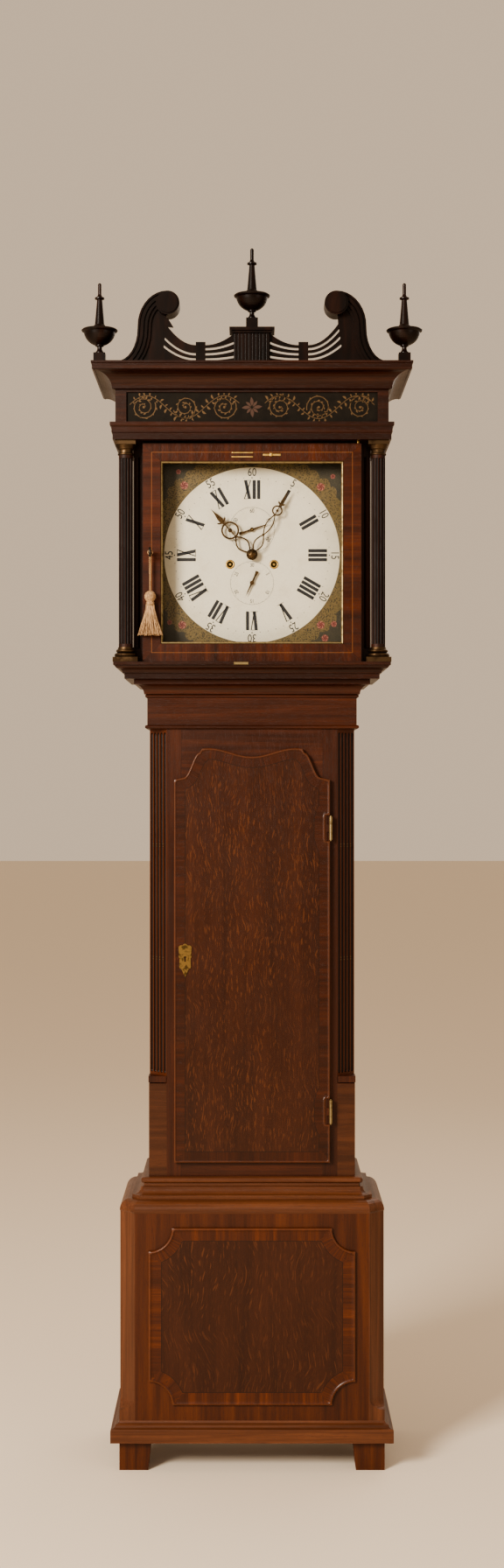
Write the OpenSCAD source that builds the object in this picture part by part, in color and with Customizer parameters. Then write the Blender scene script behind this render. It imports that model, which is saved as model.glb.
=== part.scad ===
// Longcase clock with an eight-day striking movement.
// +Z is up, the front faces -Y, and the origin is on the floor at the middle of the case.

/* [Base] */
// Height of the feet
foot_h = 55; // [30:1:90]
// Width of a foot at its top
foot_w = 60; // [40:1:90]
// Width of the base
base_w = 498; // [440:1:640]
// Depth from the wall to the front of the base
base_d = 246; // [225:1:320]
// Height of the base body
base_h = 388; // [300:1:600]
// Width of the canted corners of the base
base_cant = 28; // [12:1:40]
// Width of the raised base panel
panel_w = 388; // [260:1:400]
// Height of the raised base panel
panel_h = 332; // [200:1:350]
// Radius of the scooped corners of the base panel
panel_scoop = 44; // [20:1:70]
// How far the base panel stands proud
panel_proud = 5; // [2:0.5:10]
// Projection of the skirt around the base
skirt_out = 16; // [8:1:24]

/* [Trunk] */
// Width of the trunk
trunk_w = 392; // [340:1:440]
// Depth from the wall to the front of the trunk
trunk_d = 193; // [180:1:230]
// Height of the trunk from the base moulding to the frieze
trunk_h = 858; // [700:1:1100]
// Height of the frieze above the trunk door
frieze_h = 58; // [30:1:90]
// Width of the fluted corners
corner_w = 33.6; // [20:1:40]
// Height of the plain block under each fluted corner
corner_block_h = 178; // [80:1:240]
// Number of flutes on each corner
flutes = 5; // [3:1:7]
// Width of the trunk door
door_w = 296; // [220:1:310]
// Height of the sides of the trunk door
door_h = 727; // [500:1:900]
// Rise of the shaped top of the trunk door
door_rise = 60; // [30:1:80]
// Thickness of the door lip
door_lip = 11; // [8:0.5:16]
// Thickness of the case boards
board = 16; // [12:1:20]
// Thickness of the backboard
backboard_t = 14; // [8:1:18]

/* [Hood] */
// Width of the hood between the outer faces of its sides
hood_w = 450; // [430:1:500]
// Height of the hood door
hood_door_h = 411; // [400:1:460]
// Width of the hood door
hood_door_w = 412; // [400:1:440]
// Width of the hood door's stiles and rails
hood_rail = 34; // [24:1:36]
// Thickness of the hood door
hood_door_t = 20; // [16:1:24]
// Radius of the hood columns
column_r = 13.4; // [9:0.2:16]
// Number of flutes on each hood column
column_flutes = 14; // [8:1:20]
// Width of the entablature above the columns
entab_w = 512; // [490:1:560]
// Height of the architrave
architrave_h = 32; // [20:1:50]
// Height of the painted frieze
hood_frieze_h = 61; // [40:1:90]
// Projection of the cornice
cornice_out = 41; // [20:1:50]
// Height of the swan-neck pediment above the cornice
pediment_h = 133; // [100:1:180]
// Height of a finial
finial_h = 151; // [100:1:190]

/* [Movement] */
// Side of the square dial
dial_w = 356; // [330:1:360]
// Width of the movement plates
plate_w = 176; // [170:1:200]
// Thickness of the movement plates
plate_t = 3; // [2:0.5:5]
// Gap between the movement plates
plate_gap = 62; // [58:1:70]
// Radius of the line drums
drum_r = 24; // [20:0.5:25]
// Distance from the pendulum's axis to the middle of its bob
pendulum_len = 994; // [800:1:1100]
// Radius of the pendulum bob
bob_r = 52; // [35:1:65]
// Radius of the driving weights
weight_r = 40; // [30:0.5:40]
// Height of the driving weights
weight_h = 150; // [100:1:240]
// Diameter of the gut lines
line_d = 2.4; // [1.6:0.1:3]

/* [Hidden] */
$fn = 48;

// Clearances
slide_gap = 0.3;
door_gap = 1;
pin_gap = 0.05;
bore_gap = 0.05;

// Heights of the case, from the floor up
skirt_h = 38;
skirt_step = 23;
base_top = foot_h + skirt_h + base_h;
base_cap_h = 61;
trunk_z = base_top + base_cap_h;
frieze_z = trunk_z + trunk_h;
throat_z = frieze_z + frieze_h;
throat_h = 28;
hood_z = throat_z + throat_h + slide_gap;
hood_base_h = 31;
hood_door_z = hood_z + hood_base_h + door_gap;
entab_z = hood_door_z + hood_door_h + 4;
hood_frieze_z = entab_z + architrave_h;
cornice_z = hood_frieze_z + hood_frieze_h;
cove_h = 30;
fascia_h = 17;
cornice_top = cornice_z + cove_h + fascia_h;

// Depths of the case; the wall is at the back, and the whole depth is centred on the origin
head_step = 16;
back_y = (trunk_d + 29 + 15 + head_step + cornice_out + 2) / 2;
base_y = back_y - base_d;
trunk_y = back_y - trunk_d;
inner_back = back_y - backboard_t;
hood_body_y = trunk_y - 29;
hood_door_y = hood_body_y - 15;
entab_y = hood_door_y - head_step;
mask_t = 12;
door_swing = 2;
mask_y = hood_door_y + hood_door_t + door_swing;
dial_t = 2;
dial_y = trunk_y + 3;
hood_side_t = 17;
column_x = hood_w / 2 + 12.6;
column_y = hood_door_y + 4;
plinth_half = 23.5;

// The dial's middle, and the movement's planes behind and before it
dial_z = hood_door_z + hood_door_h / 2;
opening = hood_door_w - 2 * hood_rail;
front_plate_y = dial_y + 37;
plate_back = front_plate_y + plate_t;
back_plate_y = plate_back + plate_gap;
plate_low = 64;
plate_high = 100;
pendulum_y = back_plate_y + plate_t + 25;
suspend_z = dial_z + 76;
seat_t = 20;
seat_z = dial_z - plate_low;

// Arbors as [x, z] about the dial's middle
great_x = 41.8;
going_at = [great_x, -17.4];
strike_at = [-great_x, -17.4];
third_at = [14.1, 24.2];
escape_at = [0, 48.4];
anchor_at = [0, 76];
motion_at = [0, -28.8];
date_at = [0, -53];
pin_at = [-41.8, 22.7];
gather_at = [-33.8, 46.6];
warn_at = [-45.8, 61.2];
fly_at = [-36.8, 73.7];
hammer_at = [-66, 52];

// Wheel planes, from the back of the front plate
arbor_r = 1.4;
pivot_r = 1.1;
wheel_t = 2;
great_t = 3;
plane_third = plate_back + 8;
plane_great = plate_back + 13;
plane_drum = plate_back + 17.5;
drum_len = 30;
plane_gather = plate_back + 26;
plane_warn = plate_back + 41;
plane_centre = plate_back + 54;
plane_fly = plate_back + 46;
plane_pendulum = pendulum_y;
plane_motion = front_plate_y - 7;
plane_hour = front_plate_y - 13;
plane_date = dial_y + dial_t + 5;
hour_hand_y = dial_y - 10;
minute_hand_y = dial_y - 14;
small_hand_y = dial_y - 5;
hand_t = 1.5;

// ---- General shapes ----

// Block between two opposite corners
module block(x0, x1, y0, y1, z0, z1) {
    translate([x0, y0, z0])
        cube([x1 - x0, y1 - y0, z1 - z0]);
}

// Both sides of the case
module both() {
    children();
    mirror([1, 0, 0])
        children();
}

// Arc of points from a0 to a1 degrees
function arc(cx, cy, r, a0, a1, n = 6) =
    [for (i = [0:n]) [cx + r * cos(a0 + (a1 - a0) * i / n), cy + r * sin(a0 + (a1 - a0) * i / n)]];

function turned(points) = [for (i = [len(points) - 1:-1:0]) points[i]];

// Outline in X and Z, from y0 back to y1
module upright(y0, y1) {
    translate([0, y1, 0])
        rotate([90, 0, 0])
            linear_extrude(y1 - y0)
                children();
}

// Cylinder along Y between two depths, at [x, z] about the dial's middle
module arbor(at, y0, y1, r) {
    translate([at[0], y0, dial_z + at[1]])
        rotate([-90, 0, 0])
            cylinder(r = r, h = y1 - y0);
}

// Solid with a moulded edge on the front and both sides; prof holds [out, height] from the
// bottom up, measured from a body that has the given half width, front and canted corners
module moulded_block(half, front, prof, cant) {
    low = prof[0][1];
    high = prof[len(prof) - 1][1];
    far = 2000;
    diagonal = (half - front - cant) / sqrt(2);
    intersection() {
        translate([0, back_y, 0])
            rotate([90, 0, 0])
                linear_extrude(back_y - front + 100)
                    polygon(concat([for (p = prof) [half + p[0], p[1]]],
                                   turned([for (p = prof) [-half - p[0], p[1]]])));
        translate([-far / 2, 0, 0])
            rotate([90, 0, 90])
                linear_extrude(far)
                    polygon(concat([for (p = prof) [front - p[0], p[1]]],
                                   [[back_y, high], [back_y, low]]));
        if (cant > 0)
            canted_half(diagonal, prof, low, high, far);
        if (cant > 0)
            mirror([1, 0, 0])
                canted_half(diagonal, prof, low, high, far);
    }
}

module canted_half(diagonal, prof, low, high, far) {
    rotate([0, 0, -45])
        rotate([90, 0, 0])
            linear_extrude(far, center = true)
                polygon(concat([for (p = prof) [diagonal + p[0], p[1]]], [[-far, high], [-far, low]]));
}

// The same moulding as a frame, open inside and at the back
module moulding(half, front, prof, inner_half, inner_front, cant = 0) {
    difference() {
        moulded_block(half, front, prof, cant);
        block(-inner_half, inner_half, inner_front, back_y + 1, prof[0][1] - 1, prof[len(prof) - 1][1] + 1);
    }
}

// ---- Case ----

module backboard() {
    color("saddlebrown")
        upright(inner_back, back_y)
            polygon([[-base_w / 2 + board, foot_h + skirt_h], [base_w / 2 - board, foot_h + skirt_h],
                     [base_w / 2 - board, base_top], [trunk_w / 2 - board, base_top],
                     [trunk_w / 2 - board, throat_z + throat_h], [hood_ear, throat_z + throat_h],
                     [hood_ear, cornice_z], [-hood_ear, cornice_z],
                     [-hood_ear, throat_z + throat_h], [-trunk_w / 2 + board, throat_z + throat_h],
                     [-trunk_w / 2 + board, base_top], [-base_w / 2 + board, base_top]]);
}
hood_ear = hood_w / 2 - hood_side_t - 2;

// Four bracket feet, each narrowing on its inner side
module feet() {
    taper = foot_w * 0.1;
    color("saddlebrown")
        both()
            for (y = [base_y, back_y - foot_w])
                translate([0, y + foot_w, 0])
                    rotate([90, 0, 0])
                        linear_extrude(foot_w)
                            polygon([[base_w / 2, 0], [base_w / 2, foot_h], [base_w / 2 - foot_w, foot_h],
                                     [base_w / 2 - foot_w + taper, 0]]);
}

skirt_profile = concat(
    [[skirt_out, foot_h], [skirt_out, foot_h + skirt_step]],
    arc(skirt_out / 2 + 5, foot_h + skirt_step, 3, 0, 90, 4),
    arc(skirt_out / 2 + 5, foot_h + skirt_step + 9, 6, 270, 180, 4),
    [[2, foot_h + skirt_step + 11], [0, foot_h + skirt_h]]);

module skirt_moulding() {
    color("saddlebrown")
        moulding(base_w / 2, base_y, skirt_profile, base_w / 2 - board - 24, base_y + board + 24);
}

// Sides, bottom board and front of the base
module base_carcass() {
    low = foot_h + skirt_h;
    color("saddlebrown") {
        both()
            block(base_w / 2 - board, base_w / 2, base_y + base_cant + 12, back_y, low, base_top);
        block(-base_w / 2 + board + slide_gap, base_w / 2 - board - slide_gap, base_y + base_cant + 12,
              inner_back - slide_gap, low, low + board);
        base_front(low);
    }
}

// Front of the base with its corner posts; the cant ends in a lamb's-tongue stop above the skirt
module base_front(low) {
    post = base_cant + 12;
    reach = base_cant / sqrt(2);
    difference() {
        union() {
            block(-base_w / 2, base_w / 2, base_y, base_y + board, low, base_top);
            both()
                block(base_w / 2 - post, base_w / 2, base_y, base_y + post, low, base_top);
        }
        both()
            translate([base_w / 2, base_y, 0])
                rotate([0, 0, -45])
                    rotate([90, 0, 0])
                        linear_extrude(4 * base_cant, center = true)
                            polygon(concat([[reach + 9, low + 40 - reach], [reach + 9, base_top + 1],
                                            [-reach, base_top + 1]],
                                           arc(0, low + 40, reach, 180, 270)));
    }
}

// Raised panel with scooped corners
module scooped_panel(w, h, r, t) {
    upright(-t, 0)
        difference() {
            translate([-w / 2, 0])
                square([w, h]);
            for (x = [-w / 2, w / 2], z = [0, h])
                translate([x, z])
                    circle(r = r);
        }
}

module base_panel() {
    color("sienna")
        translate([0, base_y, foot_h + skirt_h + (base_h - panel_h) / 2 + 2])
            scooped_panel(panel_w, panel_h, panel_scoop, panel_proud);
}

// Ovolo, fillet, cavetto and bead between the base and the trunk
base_cap_profile = concat(
    [[0, base_top]],
    arc(-19, base_top + 3, 20, 0, 90, 6),
    [[-22, base_top + 23], [-22, base_top + 30], [-26, base_top + 30]],
    arc(-26, base_top + 43, 13, 270, 180, 5),
    [[-44, base_top + 44], [-44, base_top + 49]],
    arc(-44, base_top + 55, 5.5, 270, 450, 6),
    [[-48, base_cap_h + base_top]]);

module base_top_moulding() {
    color("saddlebrown")
        moulding(base_w / 2, base_y, base_cap_profile, trunk_w / 2 - board, trunk_y + board, base_cant);
}

// ---- Trunk ----

module trunk_sides() {
    color("saddlebrown")
        both()
            difference() {
                block(trunk_w / 2 - board, trunk_w / 2, trunk_y + corner_w, back_y, trunk_z, seat_z - seat_t);
                block(0, trunk_w, trunk_y - 1, dial_y + 20, hood_z - slide_gap, seat_z);
                block(0, trunk_w, inner_back, back_y + 1, throat_z + throat_h, seat_z);
            }
}

door_z = trunk_z + 27;
door_side = door_z + door_h;
door_half = door_w / 2;

// Top of the door from its right shoulder to the middle, as [x, rise]
function door_top(half, lift) = concat(
    [for (i = [0:8]) [half - 18 - 30 * i / 8, lift + 4 + (door_rise - 13) * (1 - cos(180 * i / 8)) / 2]],
    [[half - 51, lift + door_rise - 4]],
    [for (i = [0:8]) let (x = (half - 53) * (1 - i / 8))
        [x, lift + door_rise - 16 + 16 * (1 - cos(180 * x / (half - 66))) / 2]]);

// Door outline, kept the given distance inside its edge
module door_outline(inset) {
    half = door_half - inset;
    right = [for (p = door_top(door_half, door_side - inset)) [p[0] * half / door_half, p[1]]];
    polygon(concat([[half, door_z + inset], [half, door_side - inset]], right,
                   turned([for (p = right) [-p[0], p[1]]]),
                   [[-half, door_side - inset], [-half, door_z + inset]]));
}

// Front boards of the trunk, with the opening for the door
module trunk_front() {
    half = trunk_w / 2 - corner_w;
    color("saddlebrown")
        upright(trunk_y, trunk_y + board)
            difference() {
                translate([-half, trunk_z])
                    square([2 * half, hood_z - slide_gap - trunk_z]);
                door_outline(8);
            }
}

// Fluted corner posts on square blocks, with small mouldings at both ends
module trunk_corners() {
    half = trunk_w / 2;
    low = trunk_z + corner_block_h;
    top = frieze_z - 9;
    inner = half - corner_w;
    color("saddlebrown")
        both() {
            linear_extrude_at(trunk_z, low - 2)
                square_post(half, inner);
            linear_extrude_at(low, low + 12)
                translate([1, -1])
                    square_post(half, inner);
            linear_extrude_at(top + 2, hood_z - slide_gap)
                square_post(half, inner);
            difference() {
                linear_extrude_at(low - 2, top + 2)
                    polygon([[inner, trunk_y], [half, trunk_y + corner_w], [half - board, trunk_y + corner_w],
                             [inner, trunk_y + board]]);
                flute_cuts(half - corner_w / 2, trunk_y + corner_w / 2, low + 20, top - 8);
            }
        }
}

module linear_extrude_at(z0, z1) {
    translate([0, 0, z0])
        linear_extrude(z1 - z0)
            children();
}

module square_post(half, inner) {
    polygon([[inner, trunk_y], [half, trunk_y], [half, trunk_y + corner_w], [half - board, trunk_y + corner_w],
             [half - board, trunk_y + board], [inner, trunk_y + board]]);
}

module flute_cuts(x, y, z0, z1) {
    pitch = corner_w * sqrt(2) / (flutes + 0.2);
    r = pitch * 0.36;
    for (i = [0:flutes - 1])
        translate([x, y, 0])
            rotate([0, 0, 45])
                translate([(i - (flutes - 1) / 2) * pitch, 0, z0]) {
                    cylinder(r = r, h = z1 - z0);
                    translate([0, 0, z1 - z0])
                        sphere(r = r);
                    sphere(r = r);
                }
}

// Frieze with a bead above and below it, and the hollow throat under the hood
throat_profile = concat(
    [[1, frieze_z - 7]],
    arc(4, frieze_z - 3.5, 3.5, 270, 450, 5),
    [[3, frieze_z], [3, throat_z - 6]],
    arc(4, throat_z - 3, 3, 270, 450, 5),
    [[4, throat_z + 1]],
    arc(27, throat_z + 1, 18, 180, 90, 7),
    [[27, throat_z + throat_h - 5], [27, throat_z + throat_h]]);

module throat_moulding() {
    color("saddlebrown")
        moulding(trunk_w / 2, trunk_y, throat_profile, trunk_w / 2, trunk_y);
}

// Board that carries the movement, with slots for the lines
module seatboard() {
    slot = line_d + 10;
    half = trunk_w / 2;
    color("peru")
        difference() {
            block(-half, half, dial_y + 20, back_plate_y + 9, seat_z - seat_t, seat_z);
            for (x = [-great_x, great_x], side = [-1, 1])
                translate([x + side * line_x, plane_drum + drum_len / 2, 0])
                    block(-slot / 2, slot / 2, -drum_len / 2 - 4, drum_len / 2 + 4, seat_z - seat_t - 1, seat_z + 1);
        }
}
line_x = drum_r + line_d / 2;

// Knuckle hinges of the trunk door: the leaves and knuckles on the case
hinge_x = door_half + 1.5;
hinge_y = trunk_y - door_lip - 1.5;
hinge_len = 44;
hinge_pin_r = 1.6;
knuckle_r = 3.2;
hinge_levels = [door_z + 97, door_side - 92];

module knuckle(z, h, bore) {
    translate([hinge_x, hinge_y, z])
        difference() {
            cylinder(r = knuckle_r, h = h);
            translate([0, 0, -1])
                cylinder(r = bore, h = h + 2);
        }
}

// Case half of each hinge, with the pin
module case_hinges() {
    third = hinge_len / 3;
    color("goldenrod")
        for (z = hinge_levels) {
            for (k = [0, 2])
                knuckle(z - hinge_len / 2 + k * third, third, hinge_pin_r);
            difference() {
                block(hinge_x - 1, hinge_x + 1.6, hinge_y, trunk_y - 0.01, z - hinge_len / 2, z + hinge_len / 2);
                block(hinge_x - 2, hinge_x + 3, hinge_y - 9, hinge_y + knuckle_r + 0.8,
                      z - third / 2 - 0.3, z + third / 2 + 0.3);
                translate([hinge_x, hinge_y, z - hinge_len])
                    cylinder(r = knuckle_r - 0.5, h = 2 * hinge_len);
            }
            translate([hinge_x, hinge_y, z - hinge_len / 2 - 2])
                cylinder(r = hinge_pin_r, h = hinge_len + 4);
        }
}

// ---- Trunk door ----

module trunk_door() {
    inner = trunk_y - 0.3;
    third = hinge_len / 3;
    color("sienna") {
        difference() {
            upright(trunk_y - door_lip, inner)
                door_outline(0);
            for (z = hinge_levels)
                block(door_half - 6, door_half + 9, trunk_y - door_lip - 9, hinge_y + knuckle_r + 0.5,
                      z - hinge_len / 2 - 3, z + hinge_len / 2 + 3);
        }
        upright(inner, trunk_y + 8)
            door_outline(9.5);
    }
    color("goldenrod")
        for (z = hinge_levels) {
            knuckle(z - third / 2 + 0.2, third - 0.4, hinge_pin_r + pin_gap);
            difference() {
                block(door_half - 6, hinge_x, hinge_y + 0.6, hinge_y + knuckle_r + 0.5,
                      z - third / 2 + 0.2, z + third / 2 - 0.2);
                translate([hinge_x, hinge_y, z - hinge_len])
                    cylinder(r = knuckle_r - 0.5, h = 2 * hinge_len);
            }
        }
}

// Cast escutcheon over the keyhole, with the lock case behind the door
lock_x = -door_half + 21;
lock_z = door_z + 390;

module trunk_lock() {
    front = trunk_y - door_lip;
    w = 12.4;
    color("goldenrod")
        translate([lock_x, 0, lock_z]) {
            difference() {
                union() {
                    upright(front - 2, front)
                        polygon(concat([[0, -38]], arc(7, -18, 4, 270, 360, 3), arc(w - 4, 2, 4, 300, 400, 4),
                                       arc(w - 5, 18, 5, 0, 90, 4), arc(0, 21, 5, 20, 160, 5),
                                       arc(5 - w, 18, 5, 90, 180, 4), arc(4 - w, 2, 4, 140, 240, 4),
                                       arc(-7, -18, 4, 180, 270, 3)));
                    upright(front - 3.4, front)
                        circle(r = 6.5);
                }
                upright(front - 5, front + 1)
                    circle(r = 2);
                upright(front - 5, front + 1)
                    polygon([[-1.1, 0], [-1.6, -8], [1.6, -8], [1.1, 0]]);
            }
            block(-lock_half, lock_half, trunk_y + 8, trunk_y + 20, -28, 28);
        }
}
lock_half = 9;

// ---- Movement ----

// Outline of a gear with its first tooth at the given angle
function gear(n, m, lead) = [for (i = [0:n - 1], k = [-0.26, -0.11, 0.11, 0.26])
    let (a = lead + (i + k) * 360 / n, r = m * n / 2 + (abs(k) < 0.2 ? 0.7 : -1.3) * m)
        [r * cos(a), r * sin(a)]];

// Direction from one arbor to another
function toward(a, b) = atan2(b[1] - a[1], b[0] - a[0]);

// Distance between two arbors
function apart(a, b) = norm(a - b);

// Module of the pair of gears between two arbors
function pair_module(a, b, n1, n2) = 2 * apart(a, b) / (n1 + n2);

module toothed(at, y, t, points) {
    translate([at[0], 0, dial_z + at[1]])
        upright(y, y + t)
            polygon(points);
}

// Four-spoked wheel at a, driving the pinion at b
module wheel(a, b, y, n, n2, t = wheel_t, hub = 5, spokes = 4) {
    m = pair_module(a, b, n, n2);
    rim = m * n / 2 - 1.3 * m - 3;
    difference() {
        toothed(a, y, t, gear(n, m, toward(a, b)));
        if (spokes > 0)
            translate([a[0], 0, dial_z + a[1]])
                for (i = [0:spokes - 1])
                    rotate([0, 360 * i / spokes, 0])
                        upright(y - 1, y + t + 1)
                            polygon(concat(arc(0, 0, rim, 7, 360 / spokes - 7, 6),
                                           arc(0, 0, hub, 360 / spokes - 20, 20, 2)));
    }
}

// Pinion at b, driven by the wheel at a
module pinion(a, b, y, n, n2, t = 6) {
    toothed(b, y, t, gear(n2, pair_module(a, b, n, n2), toward(b, a) + 180 / n2));
}

// Arbor between the plates, with a pivot in each
module pivoted(at, front = front_plate_y, back = back_plate_y + plate_t) {
    arbor(at, plate_back + 0.3, back_plate_y - 0.3, arbor_r);
    arbor(at, front, back, pivot_r);
}

pivots = [third_at, escape_at, pin_at, gather_at, warn_at, fly_at, hammer_at];
plate_x = plate_w / 2;
pillar_r = 4;
pillars = [[plate_x - 10, -plate_low + 10], [-plate_x + 10, -plate_low + 10],
           [plate_x - 10, plate_high - 10], [-plate_x + 10, plate_high - 10]];
square_r = 3;
centre_r = 2;
cannon_r = 3;
hour_pipe_r = 4.6;

module plate(y, centre_hole, anchor_hole) {
    color("goldenrod")
        difference() {
            block(-plate_x, plate_x, y, y + plate_t, dial_z - plate_low, dial_z + plate_high);
            for (at = pivots)
                arbor(at, y - 1, y + plate_t + 1, pivot_r + bore_gap);
            for (at = [going_at, strike_at])
                arbor(at, y - 1, y + plate_t + 1, square_r + bore_gap);
            arbor([0, 0], y - 1, y + plate_t + 1, centre_hole);
            arbor(anchor_at, y - 1, y + plate_t + 1, anchor_hole);
        }
}

// Front plate, with the studs of the motion work and the date work
module front_plate() {
    plate(front_plate_y, centre_r + bore_gap, pivot_r + bore_gap);
    color("silver") {
        arbor(motion_at, plane_motion - 8, front_plate_y, pivot_r);
        arbor(date_at, plane_date + 3, front_plate_y, arbor_r);
    }
}

// Back plate with the four pillars and the cock that carries the pendulum
module back_plate() {
    cock_y = pendulum_y - 9;
    cock_in = 18;
    cock_out = 24;
    foot = 46;
    head = plate_high - 2;
    plate(back_plate_y, centre_r + bore_gap, 5);
    color("goldenrod") {
        for (at = pillars)
            arbor(at, plate_back, back_plate_y, pillar_r);
        both()
            block(cock_in, cock_out, back_plate_y + plate_t, cock_y, dial_z + foot, dial_z + head);
        difference() {
            block(-cock_out, cock_out, cock_y, cock_y + 4, dial_z + foot + 12, dial_z + head);
            arbor(anchor_at, cock_y - 1, cock_y + 5, pivot_r + bore_gap);
        }
        difference() {
            block(-6, 6, cock_y + 4, pendulum_y + 7, suspend_z + 6, dial_z + head);
            block(-1.5, 1.5, cock_y + 5, pendulum_y + 8, suspend_z, dial_z + head + 1);
        }
    }
}

// Bell on a stand that bridges the tops of the plates
bell_x = -6;
bell_y = plate_back + 26;
bell_r = 42;
bell_z = dial_z + plate_high + 14;

module bell() {
    top = dial_z + plate_high;
    color("silver") {
        block(bell_x - 6, bell_x + 6, front_plate_y, back_plate_y + plate_t, top, top + 4);
        translate([bell_x, bell_y, top + 4])
            cylinder(r = 2.5, h = bell_z + bell_r + 5 - top - 4);
        translate([bell_x, bell_y, bell_z])
            difference() {
                sphere(r = bell_r);
                sphere(r = bell_r - 2.2);
                translate([0, 0, -bell_r])
                    cube([2 * bell_r + 2, 2 * bell_r + 2, 2 * bell_r], center = true);
                cylinder(r = 2.5, h = 2 * bell_r);
            }
    }
}

// Painted iron dial on four feet, with bushed holes
module dial() {
    half = dial_w / 2;
    foot = 62;
    holes = [[going_at, 5.4], [strike_at, 5.4], [[0, 0], 6], [escape_at, 2.4], [date_at, 2.4]];
    color("ivory") {
        difference() {
            block(-half, half, dial_y, dial_y + dial_t, dial_z - half, dial_z + half);
            for (h = holes)
                arbor(h[0], dial_y - 1, dial_y + dial_t + 1, h[1]);
        }
        for (x = [-foot, foot], z = [-48, foot])
            arbor([x, z], dial_y + dial_t, front_plate_y, 4);
    }
}

// Going train, from the great wheel up to the escapement
module going_great_wheel() {
    color("goldenrod")
        difference() {
            wheel(going_at, [0, 0], plane_great, 96, 8, great_t, 8, 0);
            arbor(going_at, plane_great - 1, plane_great + great_t + 1, square_r + 0.4);
        }
}

// Drum on its arbor, with the winding square behind the dial's hole
module drum(at) {
    color("goldenrod") {
        arbor(at, plane_drum, plane_drum + drum_len, drum_r);
        for (y = [plane_drum, plane_drum + drum_len - 1.5])
            arbor(at, y, y + 1.5, drum_r + 0.6);
    }
    color("silver") {
        arbor(at, front_plate_y - 2, plane_drum, square_r);
        arbor(at, plane_drum + drum_len, back_plate_y + plate_t, square_r);
        translate([at[0], 0, dial_z + at[1]])
            upright(dial_y + 1, front_plate_y - 2)
                square(square_r * 1.4, center = true);
    }
}

module going_drum() {
    drum(going_at);
}

module strike_drum() {
    drum(strike_at);
}

// Centre arbor with its pinion and wheel, and the cannon pinion in front of the plate
module centre_wheel() {
    color("goldenrod") {
        pinion(going_at, [0, 0], plane_great - 2, 96, 8, 7);
        wheel([0, 0], third_at, plane_centre, 60, 8);
        wheel([0, 0], motion_at, plane_motion, 36, 36, wheel_t, 5, 0);
    }
    color("silver") {
        arbor([0, 0], front_plate_y, plane_great - 2, centre_r);
        arbor([0, 0], plane_great + 5, plane_centre, centre_r);
        arbor([0, 0], plane_centre + wheel_t, back_plate_y + plate_t, centre_r);
        arbor([0, 0], plane_motion + wheel_t, front_plate_y, centre_r);
        arbor([0, 0], minute_hand_y + hand_t, plane_motion, cannon_r);
    }
}

module minute_wheel() {
    color("goldenrod")
        difference() {
            union() {
                translate([motion_at[0], 0, dial_z + motion_at[1]])
                    upright(plane_motion, plane_motion + wheel_t)
                        polygon(gear(36, pair_module([0, 0], motion_at, 36, 36), 90 + 180 / 36));
                pinion([0, 0], motion_at, plane_hour - 1, 96, 8, plane_motion - plane_hour + 1);
            }
            arbor(motion_at, plane_hour - 2, front_plate_y, pivot_r + bore_gap);
        }
}

module hour_wheel() {
    color("goldenrod")
        difference() {
            union() {
                wheel([0, 0], motion_at, plane_hour, 96, 8, wheel_t, 8, 0);
                arbor([0, 0], hour_hand_y, plane_hour, hour_pipe_r);
            }
            arbor([0, 0], hour_hand_y - 1, plane_hour + wheel_t + 1, cannon_r + bore_gap);
        }
}

module third_wheel() {
    color("goldenrod") {
        wheel(third_at, escape_at, plane_third, 56, 7);
        pinion([0, 0], third_at, plane_centre - 2, 60, 8);
    }
    color("silver")
        pivoted(third_at);
}

// Escape wheel with thirty pointed teeth
escape_r = 20;
module escape_wheel() {
    teeth = 30;
    color("goldenrod") {
        difference() {
            toothed(escape_at, plane_centre, wheel_t,
                    [for (i = [0:teeth - 1], k = [[0, escape_r], [1, escape_r - 0.2], [5, escape_r - 4]])
                        [k[1] * cos(i * 12 + k[0]), k[1] * sin(i * 12 + k[0])]]);
            for (i = [0:3])
                translate([escape_at[0], 0, dial_z + escape_at[1]])
                    rotate([0, 90 * i, 0])
                        upright(plane_centre - 1, plane_centre + wheel_t + 1)
                            polygon(concat(arc(0, 0, escape_r - 7, 9, 81, 6), arc(0, 0, 5, 70, 20, 2)));
        }
        pinion(third_at, escape_at, plane_third - 2, 56, 7);
    }
    color("silver")
        pivoted(escape_at, small_hand_y + 0.5);
}

// Anchor over the escape wheel, its arbor, and the crutch behind the back plate
crutch_len = 110;
module anchor() {
    crutch_y = back_plate_y + plate_t + 4;
    fork_y = pendulum_y + 6;
    reach = 17;
    drop = 14;
    color("silver") {
        pivoted(anchor_at, front_plate_y, pendulum_y - 5);
        translate([0, 0, dial_z + anchor_at[1]])
            difference() {
                upright(plane_centre, plane_centre + wheel_t + 1)
                    polygon(concat([[-reach - 1, -drop], [-reach, -drop + 4]], arc(0, -20, 24, 140, 40, 8),
                                   [[reach, -drop + 4], [reach + 1, -drop], [reach - 2, -drop + 1]],
                                   arc(0, -20, 18.6, 42, 138, 8), [[2 - reach, -drop + 1]]));
                upright(plane_centre - 1, plane_centre + wheel_t + 2)
                    circle(r = arbor_r);
            }
        difference() {
            block(-3, 3, crutch_y, crutch_y + 2.5, dial_z + anchor_at[1] - crutch_len, dial_z + anchor_at[1] + 4);
            arbor(anchor_at, crutch_y - 1, crutch_y + 4, pivot_r);
        }
        difference() {
            block(-5.5, 5.5, crutch_y + 2.5, fork_y, dial_z + anchor_at[1] - crutch_len,
                  dial_z + anchor_at[1] - crutch_len + 4);
            block(-rod_r - 0.3, rod_r + 0.3, crutch_y + 6, fork_y + 1, dial_z, dial_z + anchor_at[1] - crutch_len);
            block(-rod_r - 0.3, rod_r + 0.3, crutch_y + 6, fork_y + 1,
                  dial_z + anchor_at[1] - crutch_len - 1, dial_z + anchor_at[1] - crutch_len + 5);
        }
    }
}
rod_r = 2.3;

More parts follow.
